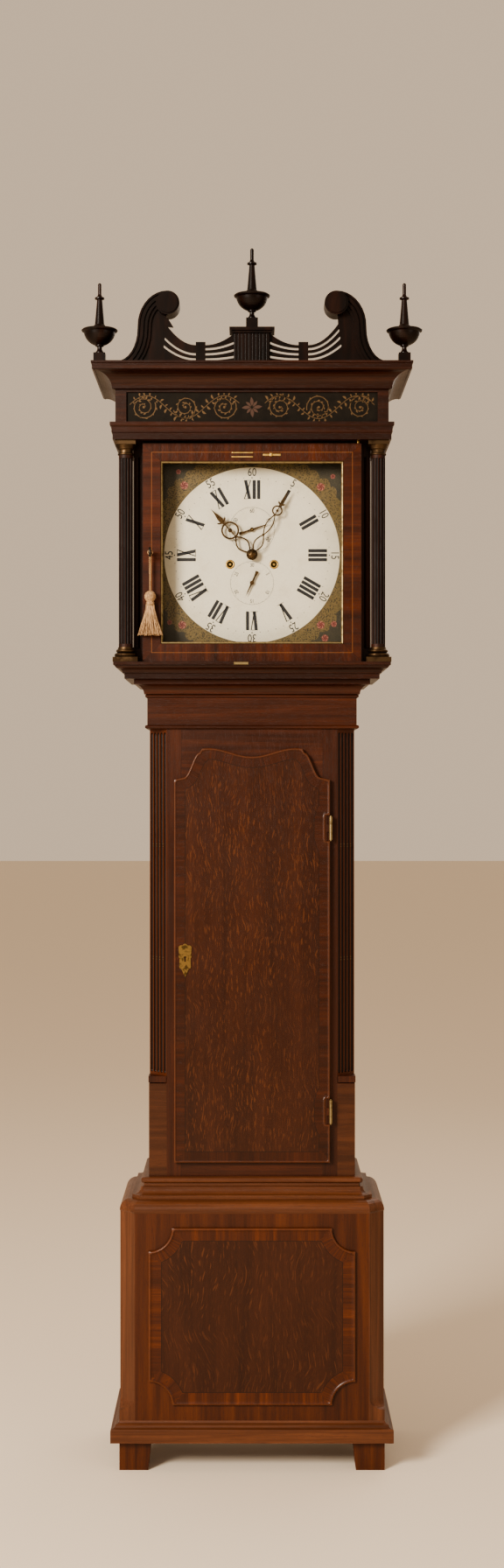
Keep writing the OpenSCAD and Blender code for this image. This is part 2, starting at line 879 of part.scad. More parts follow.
// Pendulum rod with its suspension spring and the rating nut under the bob
bob_half = 11;
module pendulum_rod() {
    bob_z = suspend_z - pendulum_len;
    color("silver") {
        block(-0.3, 0.3, pendulum_y - 3, pendulum_y + 5, suspend_z - 24, suspend_z + 16);
        difference() {
            block(-4, 4, pendulum_y - 4, pendulum_y + 6, suspend_z - 34, suspend_z - 16);
            block(-0.3, 0.3, pendulum_y - 3, pendulum_y + 5, suspend_z - 24, suspend_z + 1);
        }
        translate([0, pendulum_y, bob_z - bob_r - 22])
            cylinder(r = rod_r, h = pendulum_len - 34 + bob_r + 22);
    }
    color("goldenrod")
        translate([0, pendulum_y, bob_z - bob_r - 12])
            difference() {
                cylinder(r = 9, h = 6);
                translate([0, 0, -1])
                    cylinder(r = rod_r, h = 9);
            }
}

module pendulum_bob() {
    lens_r = (bob_r * bob_r + bob_half * bob_half) / (2 * bob_half);
    color("gold")
        translate([0, pendulum_y, suspend_z - pendulum_len])
            difference() {
                intersection() {
                    translate([0, lens_r - bob_half, 0])
                        sphere(r = lens_r, $fn = 240);
                    translate([0, bob_half - lens_r, 0])
                        sphere(r = lens_r, $fn = 240);
                }
                translate([0, 0, -bob_r - 5])
                    cylinder(r = rod_r + bore_gap, h = 2 * bob_r + 10);
            }
}

// Weights, their pulleys and lines
weight_y = plane_drum + drum_len / 2;
pulley_z = throat_z - 60;
stirrup_h = 45;

module weight(x) {
    top = pulley_z - stirrup_h;
    color("dimgray") {
        translate([x, weight_y, top - weight_h])
            cylinder(r = weight_r, h = weight_h - 2);
        translate([x, weight_y, top - 2])
            cylinder(r = weight_r - 3, h = 2);
    }
    color("silver") {
        for (s = [-1, 1])
            translate([0, weight_y + s * 6, 0])
                block(x - 4, x + 4, -1, 1, top + 8, pulley_z + 5);
        block(x - 4, x + 4, weight_y - 7, weight_y + 7, top + 6, top + 8);
        translate([x, weight_y, top])
            cylinder(r = 3, h = 6);
        arbor([x, pulley_z - dial_z], weight_y - 6, weight_y + 6, 2);
    }
}

module pulley(x) {
    at = [x, pulley_z - dial_z];
    color("goldenrod")
        difference() {
            arbor(at, weight_y - 3, weight_y + 3, drum_r + 2);
            translate([x, weight_y, pulley_z])
                rotate([90, 0, 0])
                    rotate_extrude()
                        translate([line_x, 0])
                            circle(r = line_d / 2 + 0.1);
            translate([x, weight_y, pulley_z])
                rotate([90, 0, 0])
                    difference() {
                        cylinder(r = drum_r + 5, h = line_d + 0.2, center = true);
                        cylinder(r = line_x, h = 3, center = true);
                    }
            arbor(at, weight_y - 4, weight_y + 4, 2 + pin_gap);
        }
}

// Line from the drum down round the pulley and back up to the seatboard
module line(x, side) {
    color("wheat")
        translate([0, weight_y, 0]) {
            translate([x + side * line_x, 0, pulley_z])
                cylinder(r = line_d / 2, h = dial_z + going_at[1] - pulley_z, $fn = 16);
            translate([x - side * line_x, 0, pulley_z])
                cylinder(r = line_d / 2, h = seat_z - seat_t - pulley_z, $fn = 16);
            translate([x, 0, pulley_z])
                rotate([90, 0, 0])
                    rotate_extrude(angle = -180)
                        translate([line_x, 0])
                            circle(r = line_d / 2, $fn = 16);
        }
}

module going_weight() {
    weight(great_x);
}

module strike_weight() {
    weight(-great_x);
}

module going_pulley() {
    pulley(great_x);
}

module strike_pulley() {
    pulley(-great_x);
}

module going_line() {
    line(great_x, -1);
}

module strike_line() {
    line(-great_x, -1);
}

// Striking train
module strike_great_wheel() {
    color("goldenrod")
        difference() {
            wheel(strike_at, pin_at, plane_great, 84, 8, great_t, 8, 0);
            arbor(strike_at, plane_great - 1, plane_great + great_t + 1, square_r + 0.4);
        }
}

module pin_wheel() {
    pins = 8;
    color("goldenrod") {
        wheel(pin_at, gather_at, plane_third, 64, 8);
        pinion(strike_at, pin_at, plane_great - 2, 84, 8);
    }
    color("silver") {
        pivoted(pin_at);
        for (i = [0:pins - 1])
            arbor(pin_at + 19 * [cos(i * 360 / pins + 22), sin(i * 360 / pins + 22)], plane_third - 4, plane_third, 1);
    }
}

module gathering_wheel() {
    color("goldenrod") {
        wheel(gather_at, warn_at, plane_gather, 56, 7);
        pinion(pin_at, gather_at, plane_third - 2, 64, 8);
    }
    color("silver")
        pivoted(gather_at);
}

module warning_wheel() {
    color("goldenrod") {
        wheel(warn_at, fly_at, plane_warn, 49, 7);
        pinion(gather_at, warn_at, plane_gather - 2, 56, 7);
    }
    color("silver")
        pivoted(warn_at);
}

module fly() {
    vane = 13;
    color("goldenrod") {
        pinion(warn_at, fly_at, plane_warn - 2, 49, 7, 6);
        difference() {
            block(fly_at[0] - vane + 1, fly_at[0] + vane - 1, plane_fly, plane_fly + 10,
                  dial_z + fly_at[1] - 0.5, dial_z + fly_at[1] + 0.5);
            arbor(fly_at, plane_fly - 1, plane_fly + 11, arbor_r);
        }
    }
    color("silver")
        pivoted(fly_at);
}

// Bell hammer with its tail over the pin wheel
module hammer() {
    arm_y = plate_back + 18;
    head_x = bell_x - bell_r - 11;
    head_z = plate_high + 20 - hammer_at[1];
    color("silver") {
        pivoted(hammer_at);
        translate([hammer_at[0], 0, dial_z + hammer_at[1]]) {
            difference() {
                upright(arm_y, arm_y + 3)
                    polygon([[-4, -4], [4, -4], [head_x - hammer_at[0] + 2, head_z], [head_x - hammer_at[0] - 2, head_z]]);
                upright(arm_y - 1, arm_y + 4)
                    circle(r = arbor_r);
            }
            difference() {
                upright(plane_third - 3, plane_third - 1)
                    polygon([[-4, 4], [5, 4], [11.5, -11], [9, -12.5]]);
                upright(plane_third - 4, plane_third)
                    circle(r = arbor_r);
            }
            translate([head_x - hammer_at[0] - 8, arm_y + 1.5, head_z + 5])
                rotate([0, 90, 0])
                    cylinder(r = 6, h = 16);
        }
    }
}

// ---- Hands ----

// Band of the given width along points
function ribbon(p, w) = concat(
    [for (i = [0:len(p) - 1]) p[i] + w / 2 * side_of(p, i)],
    turned([for (i = [0:len(p) - 1]) p[i] - w / 2 * side_of(p, i)]));
function side_of(p, i) = let (a = p[max(0, i - 1)], b = p[min(len(p) - 1, i + 1)], d = (b - a) / norm(b - a))
    [-d[1], d[0]];

// Scrolled leg that swings out to one side and back between two heights
function leg(z0, z1, out) = [for (i = [0:12]) [out * sin(180 * i / 12), z0 + (z1 - z0) * i / 12]];

module hand_at(at, angle, y, t) {
    translate([at[0], 0, dial_z + at[1]])
        rotate([0, angle, 0])
            upright(y, y + t)
                children();
}

module ring(z, outer, inner) {
    translate([0, z])
        difference() {
            circle(r = outer);
            circle(r = inner);
        }
}

module hour_hand() {
    color("goldenrod")
        difference() {
            union() {
                hand_at([0, 0], -42, hour_hand_y, hand_t)
                    union() {
                        for (s = [-1, 1]) {
                            polygon(ribbon(leg(6, 46, s * 11), 2.6));
                            polygon([[s * 1, 80], [s * 9, 85], [s * 10, 89], [s * 7, 87], [s * 1, 84]]);
                        }
                        ring(62, 17, 13.8);
                        circle_at(46, 3);
                        circle_at(62, 4);
                        polygon([[-0.8, 46], [0.8, 46], [1.2, 62], [0.8, 78], [-0.8, 78], [-1.2, 62]]);
                        polygon([[-1.5, 77], [-4.5, 88], [-4.2, 94], [-1.4, 106], [0, 117], [1.4, 106],
                                 [4.2, 94], [4.5, 88], [1.5, 77]]);
                    }
                arbor([0, 0], hour_hand_y, hour_hand_y + hand_t, 10);
            }
            arbor([0, 0], hour_hand_y - 1, hour_hand_y + hand_t + 1, hour_pipe_r);
        }
}

module circle_at(z, r) {
    translate([0, z])
        circle(r = r);
}

module minute_hand() {
    color("goldenrod") {
        hand_at([0, 0], 30, minute_hand_y, hand_t)
            union() {
                circle(r = 8);
                for (s = [-1, 1]) {
                    polygon(ribbon(leg(5, 43, s * 8), 2.2));
                    polygon(ribbon(leg(43, 87, s * 6), 2));
                    polygon([[s * 1, 107], [s * 6, 110], [s * 7, 114], [s * 1, 111]]);
                }
                circle_at(43, 2.4);
                ring(96, 10, 7.4);
                circle_at(96, 2.4);
                polygon([[-0.8, 88], [0.8, 88], [0.8, 104], [-0.8, 104]]);
                polygon([[-1.4, 105], [-3, 116], [-1.2, 130], [0, 142], [1.2, 130], [3, 116], [1.4, 105]]);
            }
        intersection() {
            translate([0, minute_hand_y + 6, dial_z])
                sphere(r = 12);
            translate([0, minute_hand_y - 7.5, dial_z])
                cube([30, 16, 30], center = true);
        }
    }
}

module small_hand(at, angle, tip, tail) {
    difference() {
        union() {
            hand_at(at, angle, small_hand_y, 1)
                polygon([[-1.8, 0], [-0.9, tip * 0.7], [0, tip], [0.9, tip * 0.7], [1.8, 0], [1.6, -tail * 0.5],
                         [3, -tail], [-3, -tail], [-1.6, -tail * 0.5]]);
            arbor(at, small_hand_y, small_hand_y + 1, 4);
        }
        arbor(at, small_hand_y - 1, small_hand_y + 2, pivot_r);
    }
}

module seconds_hand() {
    color("goldenrod")
        small_hand(escape_at, 71, 34, 26);
}

// Date hand on the pipe of its thirty-one-day wheel
module date_hand() {
    teeth = 62;
    color("goldenrod") {
        small_hand(date_at, 205, 28, 24);
        difference() {
            toothed(date_at, plane_date, wheel_t,
                    [for (i = [0:teeth - 1], k = [[0, 18], [0.25, 16.5]]) let (a = (i + k[0]) * 360 / teeth)
                        [k[1] * cos(a), k[1] * sin(a)]]);
            arbor(date_at, plane_date - 1, plane_date + 3, pivot_r);
        }
    }
    color("silver")
        arbor(date_at, small_hand_y + 0.5, plane_date + 2.9, pivot_r);
}

// ---- Hood ----

hood_half = hood_w / 2;
entab_half = entab_w / 2;
hood_inner = hood_half - hood_side_t;
plinth_z = hood_z + hood_base_h;
base_ring_h = 28;
capital_h = 27;

// Sides, bottom rail and dial mask of the hood
module hood_frame() {
    low = hood_z;
    side_y = hood_door_y + 28;
    bead_r = 6;
    color("saddlebrown") {
        both() {
            block(hood_inner, hood_half, side_y, back_y, low, entab_z);
            translate([hood_half - bead_r - 0.5, side_y, plinth_z + base_ring_h])
                cylinder(r = bead_r, h = entab_z - capital_h - plinth_z - base_ring_h);
        }
        difference() {
            block(-hood_inner, hood_inner, mask_y, mask_y + mask_t, low, entab_z);
            block(-opening / 2, opening / 2, mask_y - 1, mask_y + mask_t + 1, dial_z - opening / 2, dial_z + opening / 2);
        }
    }
}

hood_base_profile = concat(
    [[15, hood_z], [15, hood_z + 10]],
    arc(27, hood_z + 10, 9, 180, 90, 5),
    arc(27, hood_z + 24, 5, 270, 360, 3),
    [[35, hood_z + 25], [35, hood_z + hood_base_h]]);

module hood_base_moulding() {
    color("saddlebrown")
        difference() {
            moulding(hood_half, hood_body_y, hood_base_profile, hood_half, mask_y);
            block(hood_inner, hood_half + 0.01, hood_door_y + 28, back_y + 1, hood_z - 1, plinth_z + 1);
            block(-hood_half - 0.01, -hood_inner, hood_door_y + 28, back_y + 1, hood_z - 1, plinth_z + 1);
            pivot_bore(plinth_z - 7);
        }
}

module at_columns() {
    both()
        translate([column_x, column_y, 0])
            children();
}

// Fluted shafts, each from its base to its capital
module hood_columns() {
    low = plinth_z + base_ring_h;
    high = entab_z - capital_h;
    color("sienna")
        at_columns()
            difference() {
                translate([0, 0, low])
                    cylinder(r = column_r, h = high - low);
                for (i = [0:column_flutes - 1])
                    rotate([0, 0, i * 360 / column_flutes])
                        translate([column_r + 0.4, 0, low + 6])
                            cylinder(r = column_r * 0.19, h = high - low - 12);
            }
}

// Brass bases and capitals
module column_mounts() {
    r = column_r;
    color("goldenrod")
        at_columns() {
            translate([-plinth_half, -plinth_half, plinth_z])
                cube([2 * plinth_half, 2 * plinth_half, 9]);
            translate([0, 0, plinth_z + 9])
                rotate_extrude()
                    polygon(concat([[0, 0]], arc(r + 4, 4, 4, 270, 450, 6), [[r + 2, 9]],
                                   arc(r + 2, 12, 3, 270, 450, 6), [[r + 1, 19], [0, 19]]));
            translate([0, 0, entab_z - capital_h])
                rotate_extrude()
                    polygon(concat([[0, 0], [r, 0]], arc(r, 2, 2, 270, 450, 5), [[r - 0.5, 9]],
                                   arc(r, 13, 2.5, 270, 360, 3), [[r + 5, 19], [0, 19]]));
            translate([-r - 6, -r - 6, entab_z - 8])
                cube([2 * r + 12, 2 * r + 12, 8]);
        }
}

architrave_profile = [[5, entab_z], [5, entab_z + 12], [7, entab_z + 13], [7, entab_z + architrave_h - 9],
                      [10, entab_z + architrave_h - 6], [10, entab_z + architrave_h]];

// Architrave and the frieze above it, with the recess for the painted panel
module hood_architrave() {
    recess = entab_half - 20.5;
    color("saddlebrown") {
        difference() {
            moulding(entab_half, entab_y, architrave_profile, hood_inner, mask_y);
            pivot_bore(entab_z - 1);
        }
        difference() {
            moulding(entab_half, entab_y, [[0, hood_frieze_z], [0, cornice_z]], hood_inner, mask_y);
            block(-recess, recess, entab_y - 1, entab_y + 7, hood_frieze_z + 2, cornice_z - 4);
        }
    }
}

module frieze_panel() {
    recess = entab_half - 20.5;
    color("black")
        block(-recess, recess, entab_y + 4, entab_y + 7, hood_frieze_z + 2, cornice_z - 4);
}

cornice_profile = concat(
    [[0, cornice_z]],
    arc(cornice_out - 6, cornice_z + 2, 29, 180, 90, 8),
    [[cornice_out - 4, cornice_top - 17], [cornice_out, cornice_top - 15], [cornice_out, cornice_top - 5],
     [cornice_out + 2, cornice_top - 4], [cornice_out + 2, cornice_top]]);

// Cornice with the top board of the hood
module hood_cornice() {
    color("saddlebrown") {
        moulding(entab_half, entab_y, cornice_profile, hood_inner, mask_y);
        block(-hood_inner, hood_inner, mask_y, back_y, cornice_top - 12, cornice_top - 2);
    }
}

// ---- Pediment ----

pediment_y = entab_y - 14;
fret_t = 8;
slot_h = 5.6;
slot_pitch = 9.6;
rail_h = 4;
neck_w = 24;
neck_x = 158;
neck_foot = 252;
roundel_r = 22;
roundel_z = cornice_top + pediment_h - roundel_r - 1;
post_x = 96;
post_half = 9;
pedestal_half = 33;
pedestal_h = 55;
pedestal_cap = 10;
outer_rise = [41, 34, 28, 22];
inner_rise = [22, 12, 8, 5];

// Upper edge of the gallery's rail (k = 0) or of a slot below it, in an outer or an inner bay
gallery_h = 34;
function rail_z(x, k) = cornice_top + gallery_h - (k == 0 ? 0 : rail_h + (k - 1) * slot_pitch) +
    (x > post_x ? outer_rise[k] * pow((x - post_x - post_half) / 57, 2)
                : inner_rise[k] * pow((post_x - post_half - x) / (post_x - post_half - pedestal_half), 2));

function steps(a, b, n = 8) = [for (i = [0:n]) a + (b - a) * i / n];

module fret_slot(x0, x1, k) {
    polygon(concat([for (x = steps(x0, x1)) [x, rail_z(x, k)]],
                   [for (x = steps(x1, x0)) [x, rail_z(x, k) - slot_h]]));
}

// Pierced gallery board of one side, with the given number of slots in its outer bay
module gallery(slots) {
    low = cornice_top;
    upright(pediment_y, pediment_y + fret_t)
        difference() {
            polygon(concat([[pedestal_half, low]], [for (p = neck_curve(2)) [p[0], max(p[1], low)]],
                           [for (x = steps(neck_x + 3, post_x + post_half)) [x, rail_z(x, 0)]],
                           [[post_x + post_half, low + gallery_h + 6], [post_x - post_half, low + gallery_h + 6]],
                           [for (x = steps(post_x - post_half, pedestal_half)) [x, rail_z(x, 0)]]));
            for (k = [1:slots])
                fret_slot(post_x + post_half, neck_x + 3 + 2 * k, k + 3 - slots);
            for (k = [1:3])
                fret_slot(pedestal_half + 1, post_x - post_half, k);
            neck_outline();
        }
}

// Gallery between the necks, with its posts and the reeded pedestal
module pediment_fret() {
    low = cornice_top;
    reeds = 10;
    step = 2 * pedestal_half / reeds;
    color("saddlebrown") {
        gallery(3);
        mirror([1, 0, 0]) {
            gallery(2);
            upright(pediment_y, pediment_y + fret_t)
                difference() {
                    polygon([[neck_x + 6, low + 86], [neck_x - 1, low + 84], [neck_x - 11, low + 68],
                             [neck_x + 6, low + 70]]);
                    neck_outline();
                }
        }
        difference() {
            block(-pedestal_half, pedestal_half, pediment_y - 8, pediment_y + 24, low, low + pedestal_h);
            for (i = [0:reeds])
                translate([-pedestal_half + i * step, pediment_y - 8, low + 4])
                    cylinder(r = 1.2, h = pedestal_h);
        }
        block(-pedestal_half - 5, pedestal_half + 5, pediment_y - 12, pediment_y + 28,
              low + pedestal_h, low + pedestal_h + 4);
        block(-pedestal_half - 9, pedestal_half + 9, pediment_y - 16, pediment_y + 32,
              low + pedestal_h + 4, low + pedestal_h + pedestal_cap);
    }
}

// Curve of a swan neck at the given distance inside its outer edge
function neck_curve(d) = let (rise = pediment_h / 2) concat(
    [[neck_foot + 18, cornice_top + 2 - d]],
    [for (i = [0:8]) let (a = 90 * i / 8)
        [neck_foot - (39 + d) * sin(a), cornice_top + rise - 4 - (rise - 6 + d) * cos(a)]],
    [for (i = [1:9]) let (a = 90 * i / 9)
        [neck_x + (55 - d) * cos(a), cornice_top + rise + (rise - d) * sin(a)]]);

// Outline of the neck and its roundel
module neck_outline() {
    polygon(concat(neck_curve(0), turned(neck_curve(neck_w))));
    translate([neck_x - 1, roundel_z])
        circle(r = roundel_r);
}

// One reed of a neck, between two distances inside its outer edge
module neck_band(d0, d1, proud) {
    intersection() {
        upright(pediment_y - proud, pediment_y + 30)
            polygon(concat(neck_curve(d0), turned(neck_curve(d1))));
        block(0, 2 * entab_w, pediment_y - 40, back_y, cornice_top, cornice_top + 2 * pediment_h);
    }
}

module swan_necks() {
    color("saddlebrown")
        both() {
            neck_band(0, 3.5, 12);
            neck_band(3.5, 5, 8);
            neck_band(5, 11, 10);
            neck_band(11, 13, 5);
            neck_band(13, 18, 8);
            neck_band(18, neck_w, 4);
            translate([neck_x - 1, 0, roundel_z]) {
                upright(pediment_y - 16, pediment_y + 28)
                    circle(r = roundel_r);
                upright(pediment_y - 18, pediment_y - 16)
                    circle(r = roundel_r - 3);
            }
        }
}

module finial() {
    k = finial_h / 151;
    color("saddlebrown") {
        translate([-11, -11, 0])
            cube([22, 22, 20 * k]);
        translate([0, 0, 20 * k])
            rotate_extrude()
                polygon([for (p = concat([[0, 0], [8, 0], [8, 2], [5.5, 5], [4.5, 8], [4.5, 12], [8, 13.5],
                                              [8, 16]],
                                             arc(0, 44, 30, 285, 350, 7),
                                             [[33, 41], [34, 43], [32, 45], [14, 48], [9, 54], [7.5, 70], [5, 100],
                                              [9, 101.5], [9, 104], [5, 106], [3.3, 110], [3.3, 129], [2, 131],
                                              [0, 131]])) [p[0], p[1] * k]]);
    }
}

module finials() {
    both()
        translate([entab_half + cornice_out - 12, pediment_y + 8, cornice_top])
            finial();
    translate([0, pediment_y + 8, cornice_top + pedestal_h + pedestal_cap])
        finial();
}

// ---- Hood door ----

hood_door_half = hood_door_w / 2;
glass_inset = 8;
glass_t = 3;
pivot_x = hood_door_half - 6;
pivot_y = hood_door_y + 6;

pivot_r_door = 3;

// Socket for a pivot of the hood door
module pivot_bore(z) {
    translate([pivot_x, pivot_y, z])
        cylinder(r = pivot_r_door + pin_gap, h = 8);
}

module hood_door_frame() {
    back = hood_door_y + hood_door_t;
    top = hood_door_z + hood_door_h;
    edge = opening / 2 + glass_inset;
    color("sienna")
        difference() {
            block(-hood_door_half, hood_door_half, hood_door_y, back, hood_door_z, top);
            block(-opening / 2, opening / 2, hood_door_y - 1, back + 1, dial_z - opening / 2, dial_z + opening / 2);
            block(-edge, edge, hood_door_y + 8, back + 1, dial_z - edge, dial_z + edge);
            translate([pivot_x, pivot_y, hood_door_z - 1])
                cylinder(r = pivot_r_door, h = hood_door_h + 2);
            block(key_x - 1.5, key_x + 1.5, hood_door_y - 1, back + 1, key_z - 9, key_z);
            translate([key_x, back - 7, key_z])
                rotate([-90, 0, 0])
                    cylinder(r = 9.5, h = 6);
            translate([key_x, hood_door_y - 1, key_z])
                rotate([-90, 0, 0])
                    cylinder(r = key_r + 0.3, h = hood_door_t + 2);
        }
}

module hood_door_glass() {
    edge = opening / 2 + glass_inset - 0.5;
    color("lightcyan", 0.4)
        block(-edge, edge, hood_door_y + 8, hood_door_y + 8 + glass_t, dial_z - edge, dial_z + edge);
}

// Pivot pins of the hood door with their plates
module hood_door_pivots() {
    top = hood_door_z + hood_door_h;
    color("goldenrod")
        translate([pivot_x, pivot_y, 0]) {
            translate([0, 0, plinth_z - 6])
                cylinder(r = pivot_r_door, h = 24);
            translate([0, 0, top - 18])
                cylinder(r = pivot_r_door, h = entab_z + 6 - top + 18);
        }
}

// Key in the hood door's lock; its bow is edge on
key_x = -hood_door_half + 15;
key_z = dial_z + 2 - 4;
key_r = 2.4;
bow_r = 9;

module hood_key() {
    color("goldenrod")
        translate([key_x, 0, key_z]) {
            upright(hood_door_y - 16, hood_door_y + hood_door_t - 2)
                circle(r = key_r);
            translate([0, hood_door_y - 16 - bow_r + 2, 0])
                rotate([0, 90, 0])
                    rotate_extrude()
                        translate([bow_r - 2, 0])
                            circle(r = 2.2);
            translate([0, hood_door_y + hood_door_t - 6, -8])
                block(-1.2, 1.2, 0, 3.8, 0, 6.2);
        }
}

// Tassel on a short cord looped over the key's shank
cord_d = 3;
cord_drop = 72;
tassel_h = 84;
tassel_y = hood_door_y - 12;
tassel_w = 50;
tassel_t = 18;

module tassel() {
    loop = key_r + cord_d / 2 + 0.4;
    color("burlywood")
        translate([key_x, tassel_y, key_z]) {
            rotate([90, 0, 0])
                rotate_extrude()
                    translate([loop, 0])
                        circle(r = cord_d / 2, $fn = 24);
            translate([0, 0, -cord_drop - 1])
                cylinder(r = cord_d / 2, h = cord_drop + 1 - loop);
            translate([0, 0, -cord_drop - 19])
                rotate_extrude()
                    polygon(concat([[0, 0], [6, 0]], arc(0, 9, 10.5, 300, 430, 7), [[0, 19]]));
            translate([0, 0, -cord_drop - tassel_h])
                upright(-tassel_t / 2, tassel_t / 2)
                    polygon([[-tassel_w / 2, 0], [tassel_w / 2, 0], [9, tassel_h * 0.6], [6, tassel_h - 19],
                             [-6, tassel_h - 19], [-9, tassel_h * 0.6]]);
        }
}

backboard();
feet();
base_carcass();
base_panel();
skirt_moulding();
base_top_moulding();
trunk_sides();
trunk_front();
trunk_corners();
throat_moulding();
seatboard();
case_hinges();
front_plate();
back_plate();
bell();
dial();
centre_wheel();
minute_hand();
minute_wheel();
hour_wheel();
hour_hand();
third_wheel();
escape_wheel();
seconds_hand();
date_hand();
anchor();
pendulum_rod();
pendulum_bob();
going_great_wheel();
going_drum();
going_line();
going_pulley();
going_weight();
strike_great_wheel();
strike_drum();
strike_line();
strike_pulley();
strike_weight();
pin_wheel();
gathering_wheel();
warning_wheel();
fly();
hammer();
trunk_door();
trunk_lock();
hood_frame();
hood_base_moulding();
hood_columns();
column_mounts();
hood_architrave();
hood_cornice();
frieze_panel();
pediment_fret();
swan_necks();
finials();
hood_door_frame();
hood_door_glass();
hood_door_pivots();
hood_key();
tassel();
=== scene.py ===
# Longcase clock: finishes, painted dial and frieze, doors, silk tassel and gut lines over the CAD frame
import bpy
import itertools
import math
import mathutils
import numpy as np
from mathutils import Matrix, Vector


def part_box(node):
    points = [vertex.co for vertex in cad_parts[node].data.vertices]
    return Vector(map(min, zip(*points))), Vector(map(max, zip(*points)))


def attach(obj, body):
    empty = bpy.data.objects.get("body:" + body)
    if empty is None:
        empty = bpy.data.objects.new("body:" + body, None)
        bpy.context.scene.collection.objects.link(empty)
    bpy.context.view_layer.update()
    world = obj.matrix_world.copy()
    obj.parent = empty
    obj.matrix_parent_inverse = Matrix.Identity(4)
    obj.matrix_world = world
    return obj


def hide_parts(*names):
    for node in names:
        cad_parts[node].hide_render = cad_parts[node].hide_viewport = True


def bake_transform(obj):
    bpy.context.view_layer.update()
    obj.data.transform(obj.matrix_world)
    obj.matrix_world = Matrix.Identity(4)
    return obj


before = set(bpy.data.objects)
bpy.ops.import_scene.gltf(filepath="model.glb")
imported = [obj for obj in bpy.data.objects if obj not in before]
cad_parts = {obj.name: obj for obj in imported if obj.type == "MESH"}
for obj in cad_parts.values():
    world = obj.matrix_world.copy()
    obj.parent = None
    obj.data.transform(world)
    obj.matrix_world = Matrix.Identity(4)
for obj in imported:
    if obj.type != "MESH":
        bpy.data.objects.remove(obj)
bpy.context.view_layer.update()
print("frame loaded:", len(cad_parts), "nodes")


class Wire:
    # one output socket; arithmetic on it adds Math nodes
    def __init__(self, shop, socket):
        self.shop = shop
        self.socket = socket

    def __abs__(self):
        return self.shop.math("ABSOLUTE", self, 0.0)


for sign, operation in (("add", "ADD"), ("sub", "SUBTRACT"), ("mul", "MULTIPLY"), ("truediv", "DIVIDE")):
    setattr(Wire, f"__{sign}__", lambda wire, other, kind=operation: wire.shop.math(kind, wire, other))
    setattr(Wire, f"__r{sign}__", lambda wire, other, kind=operation: wire.shop.math(kind, other, wire))


class Finish:
    # node tree of one material, ending in a Principled shader
    def __init__(self, name):
        self.material = bpy.data.materials.new(name)
        self.material.use_nodes = True
        self.tree = self.material.node_tree
        self.tree.nodes.clear()
        self.shader = self.tree.nodes.new("ShaderNodeBsdfPrincipled")
        output = self.tree.nodes.new("ShaderNodeOutputMaterial")
        self.tree.links.new(self.shader.outputs[0], output.inputs[0])
        place = self.tree.nodes.new("ShaderNodeTexCoord")
        self.place = Wire(self, place.outputs["Object"])

    # a node of any kind: its settings first, then the values or links of its sockets
    def node(self, kind, settings, sockets, out=0):
        made = self.tree.nodes.new(kind)
        for key, value in settings.items():
            if key == "stops":
                ramp = made.color_ramp.elements
                while len(ramp) < len(value):
                    ramp.new(1.0)
                for stop, (at, colour) in zip(ramp, value):
                    stop.position = at
                    stop.color = (*colour, 1.0)
            else:
                setattr(made, key, value)
        for key, value in sockets.items():
            self.feed(made.inputs[key], value)
        return Wire(self, made.outputs[out])

    def feed(self, socket, value):
        if isinstance(value, Wire):
            self.tree.links.new(value.socket, socket)
        elif isinstance(value, tuple) and len(value) == 3 and socket.type == "RGBA":
            socket.default_value = (*value, 1.0)
        else:
            socket.default_value = value

    def math(self, operation, a, b):
        return self.node("ShaderNodeMath", {"operation": operation}, {0: a, 1: b})

    def mix(self, factor, a, b):
        return self.node("ShaderNodeMix", {"data_type": "RGBA"}, {0: factor, 6: a, 7: b}, 2)

    def split(self, vector):
        return [self.node("ShaderNodeSeparateXYZ", {}, {0: vector}, i) for i in range(3)]

    def join(self, x, y, z):
        return self.node("ShaderNodeCombineXYZ", {}, {0: x, 1: y, 2: z})

    def scaled(self, vector, scale):
        return self.node("ShaderNodeVectorMath", {"operation": "MULTIPLY"}, {0: vector, 1: scale})

    def noise(self, vector, scale, detail=3.0, distortion=0.0):
        return self.node("ShaderNodeTexNoise", {},
                         {"Vector": vector, "Scale": scale, "Detail": detail, "Distortion": distortion})

    def cells(self, vector, scale, feature="F1"):
        return self.node("ShaderNodeTexVoronoi", {"feature": feature}, {"Vector": vector, "Scale": scale})

    # 0 below low, 1 above high, smooth between
    def step(self, value, low, high):
        return self.node("ShaderNodeMapRange", {"interpolation_type": "SMOOTHSTEP"},
                         {"Value": value, "From Min": low, "From Max": high})

    def ramp(self, value, stops):
        return self.node("ShaderNodeValToRGB", {"stops": stops}, {0: value})

    def bump(self, height, distance, strength=1.0):
        return self.node("ShaderNodeBump", {},
                         {"Height": height, "Distance": distance, "Strength": strength})

    def set(self, **sockets):
        for key, value in sockets.items():
            self.feed(self.shader.inputs[key.replace("_", " ")], value)
        return self.material


print("helpers ready")


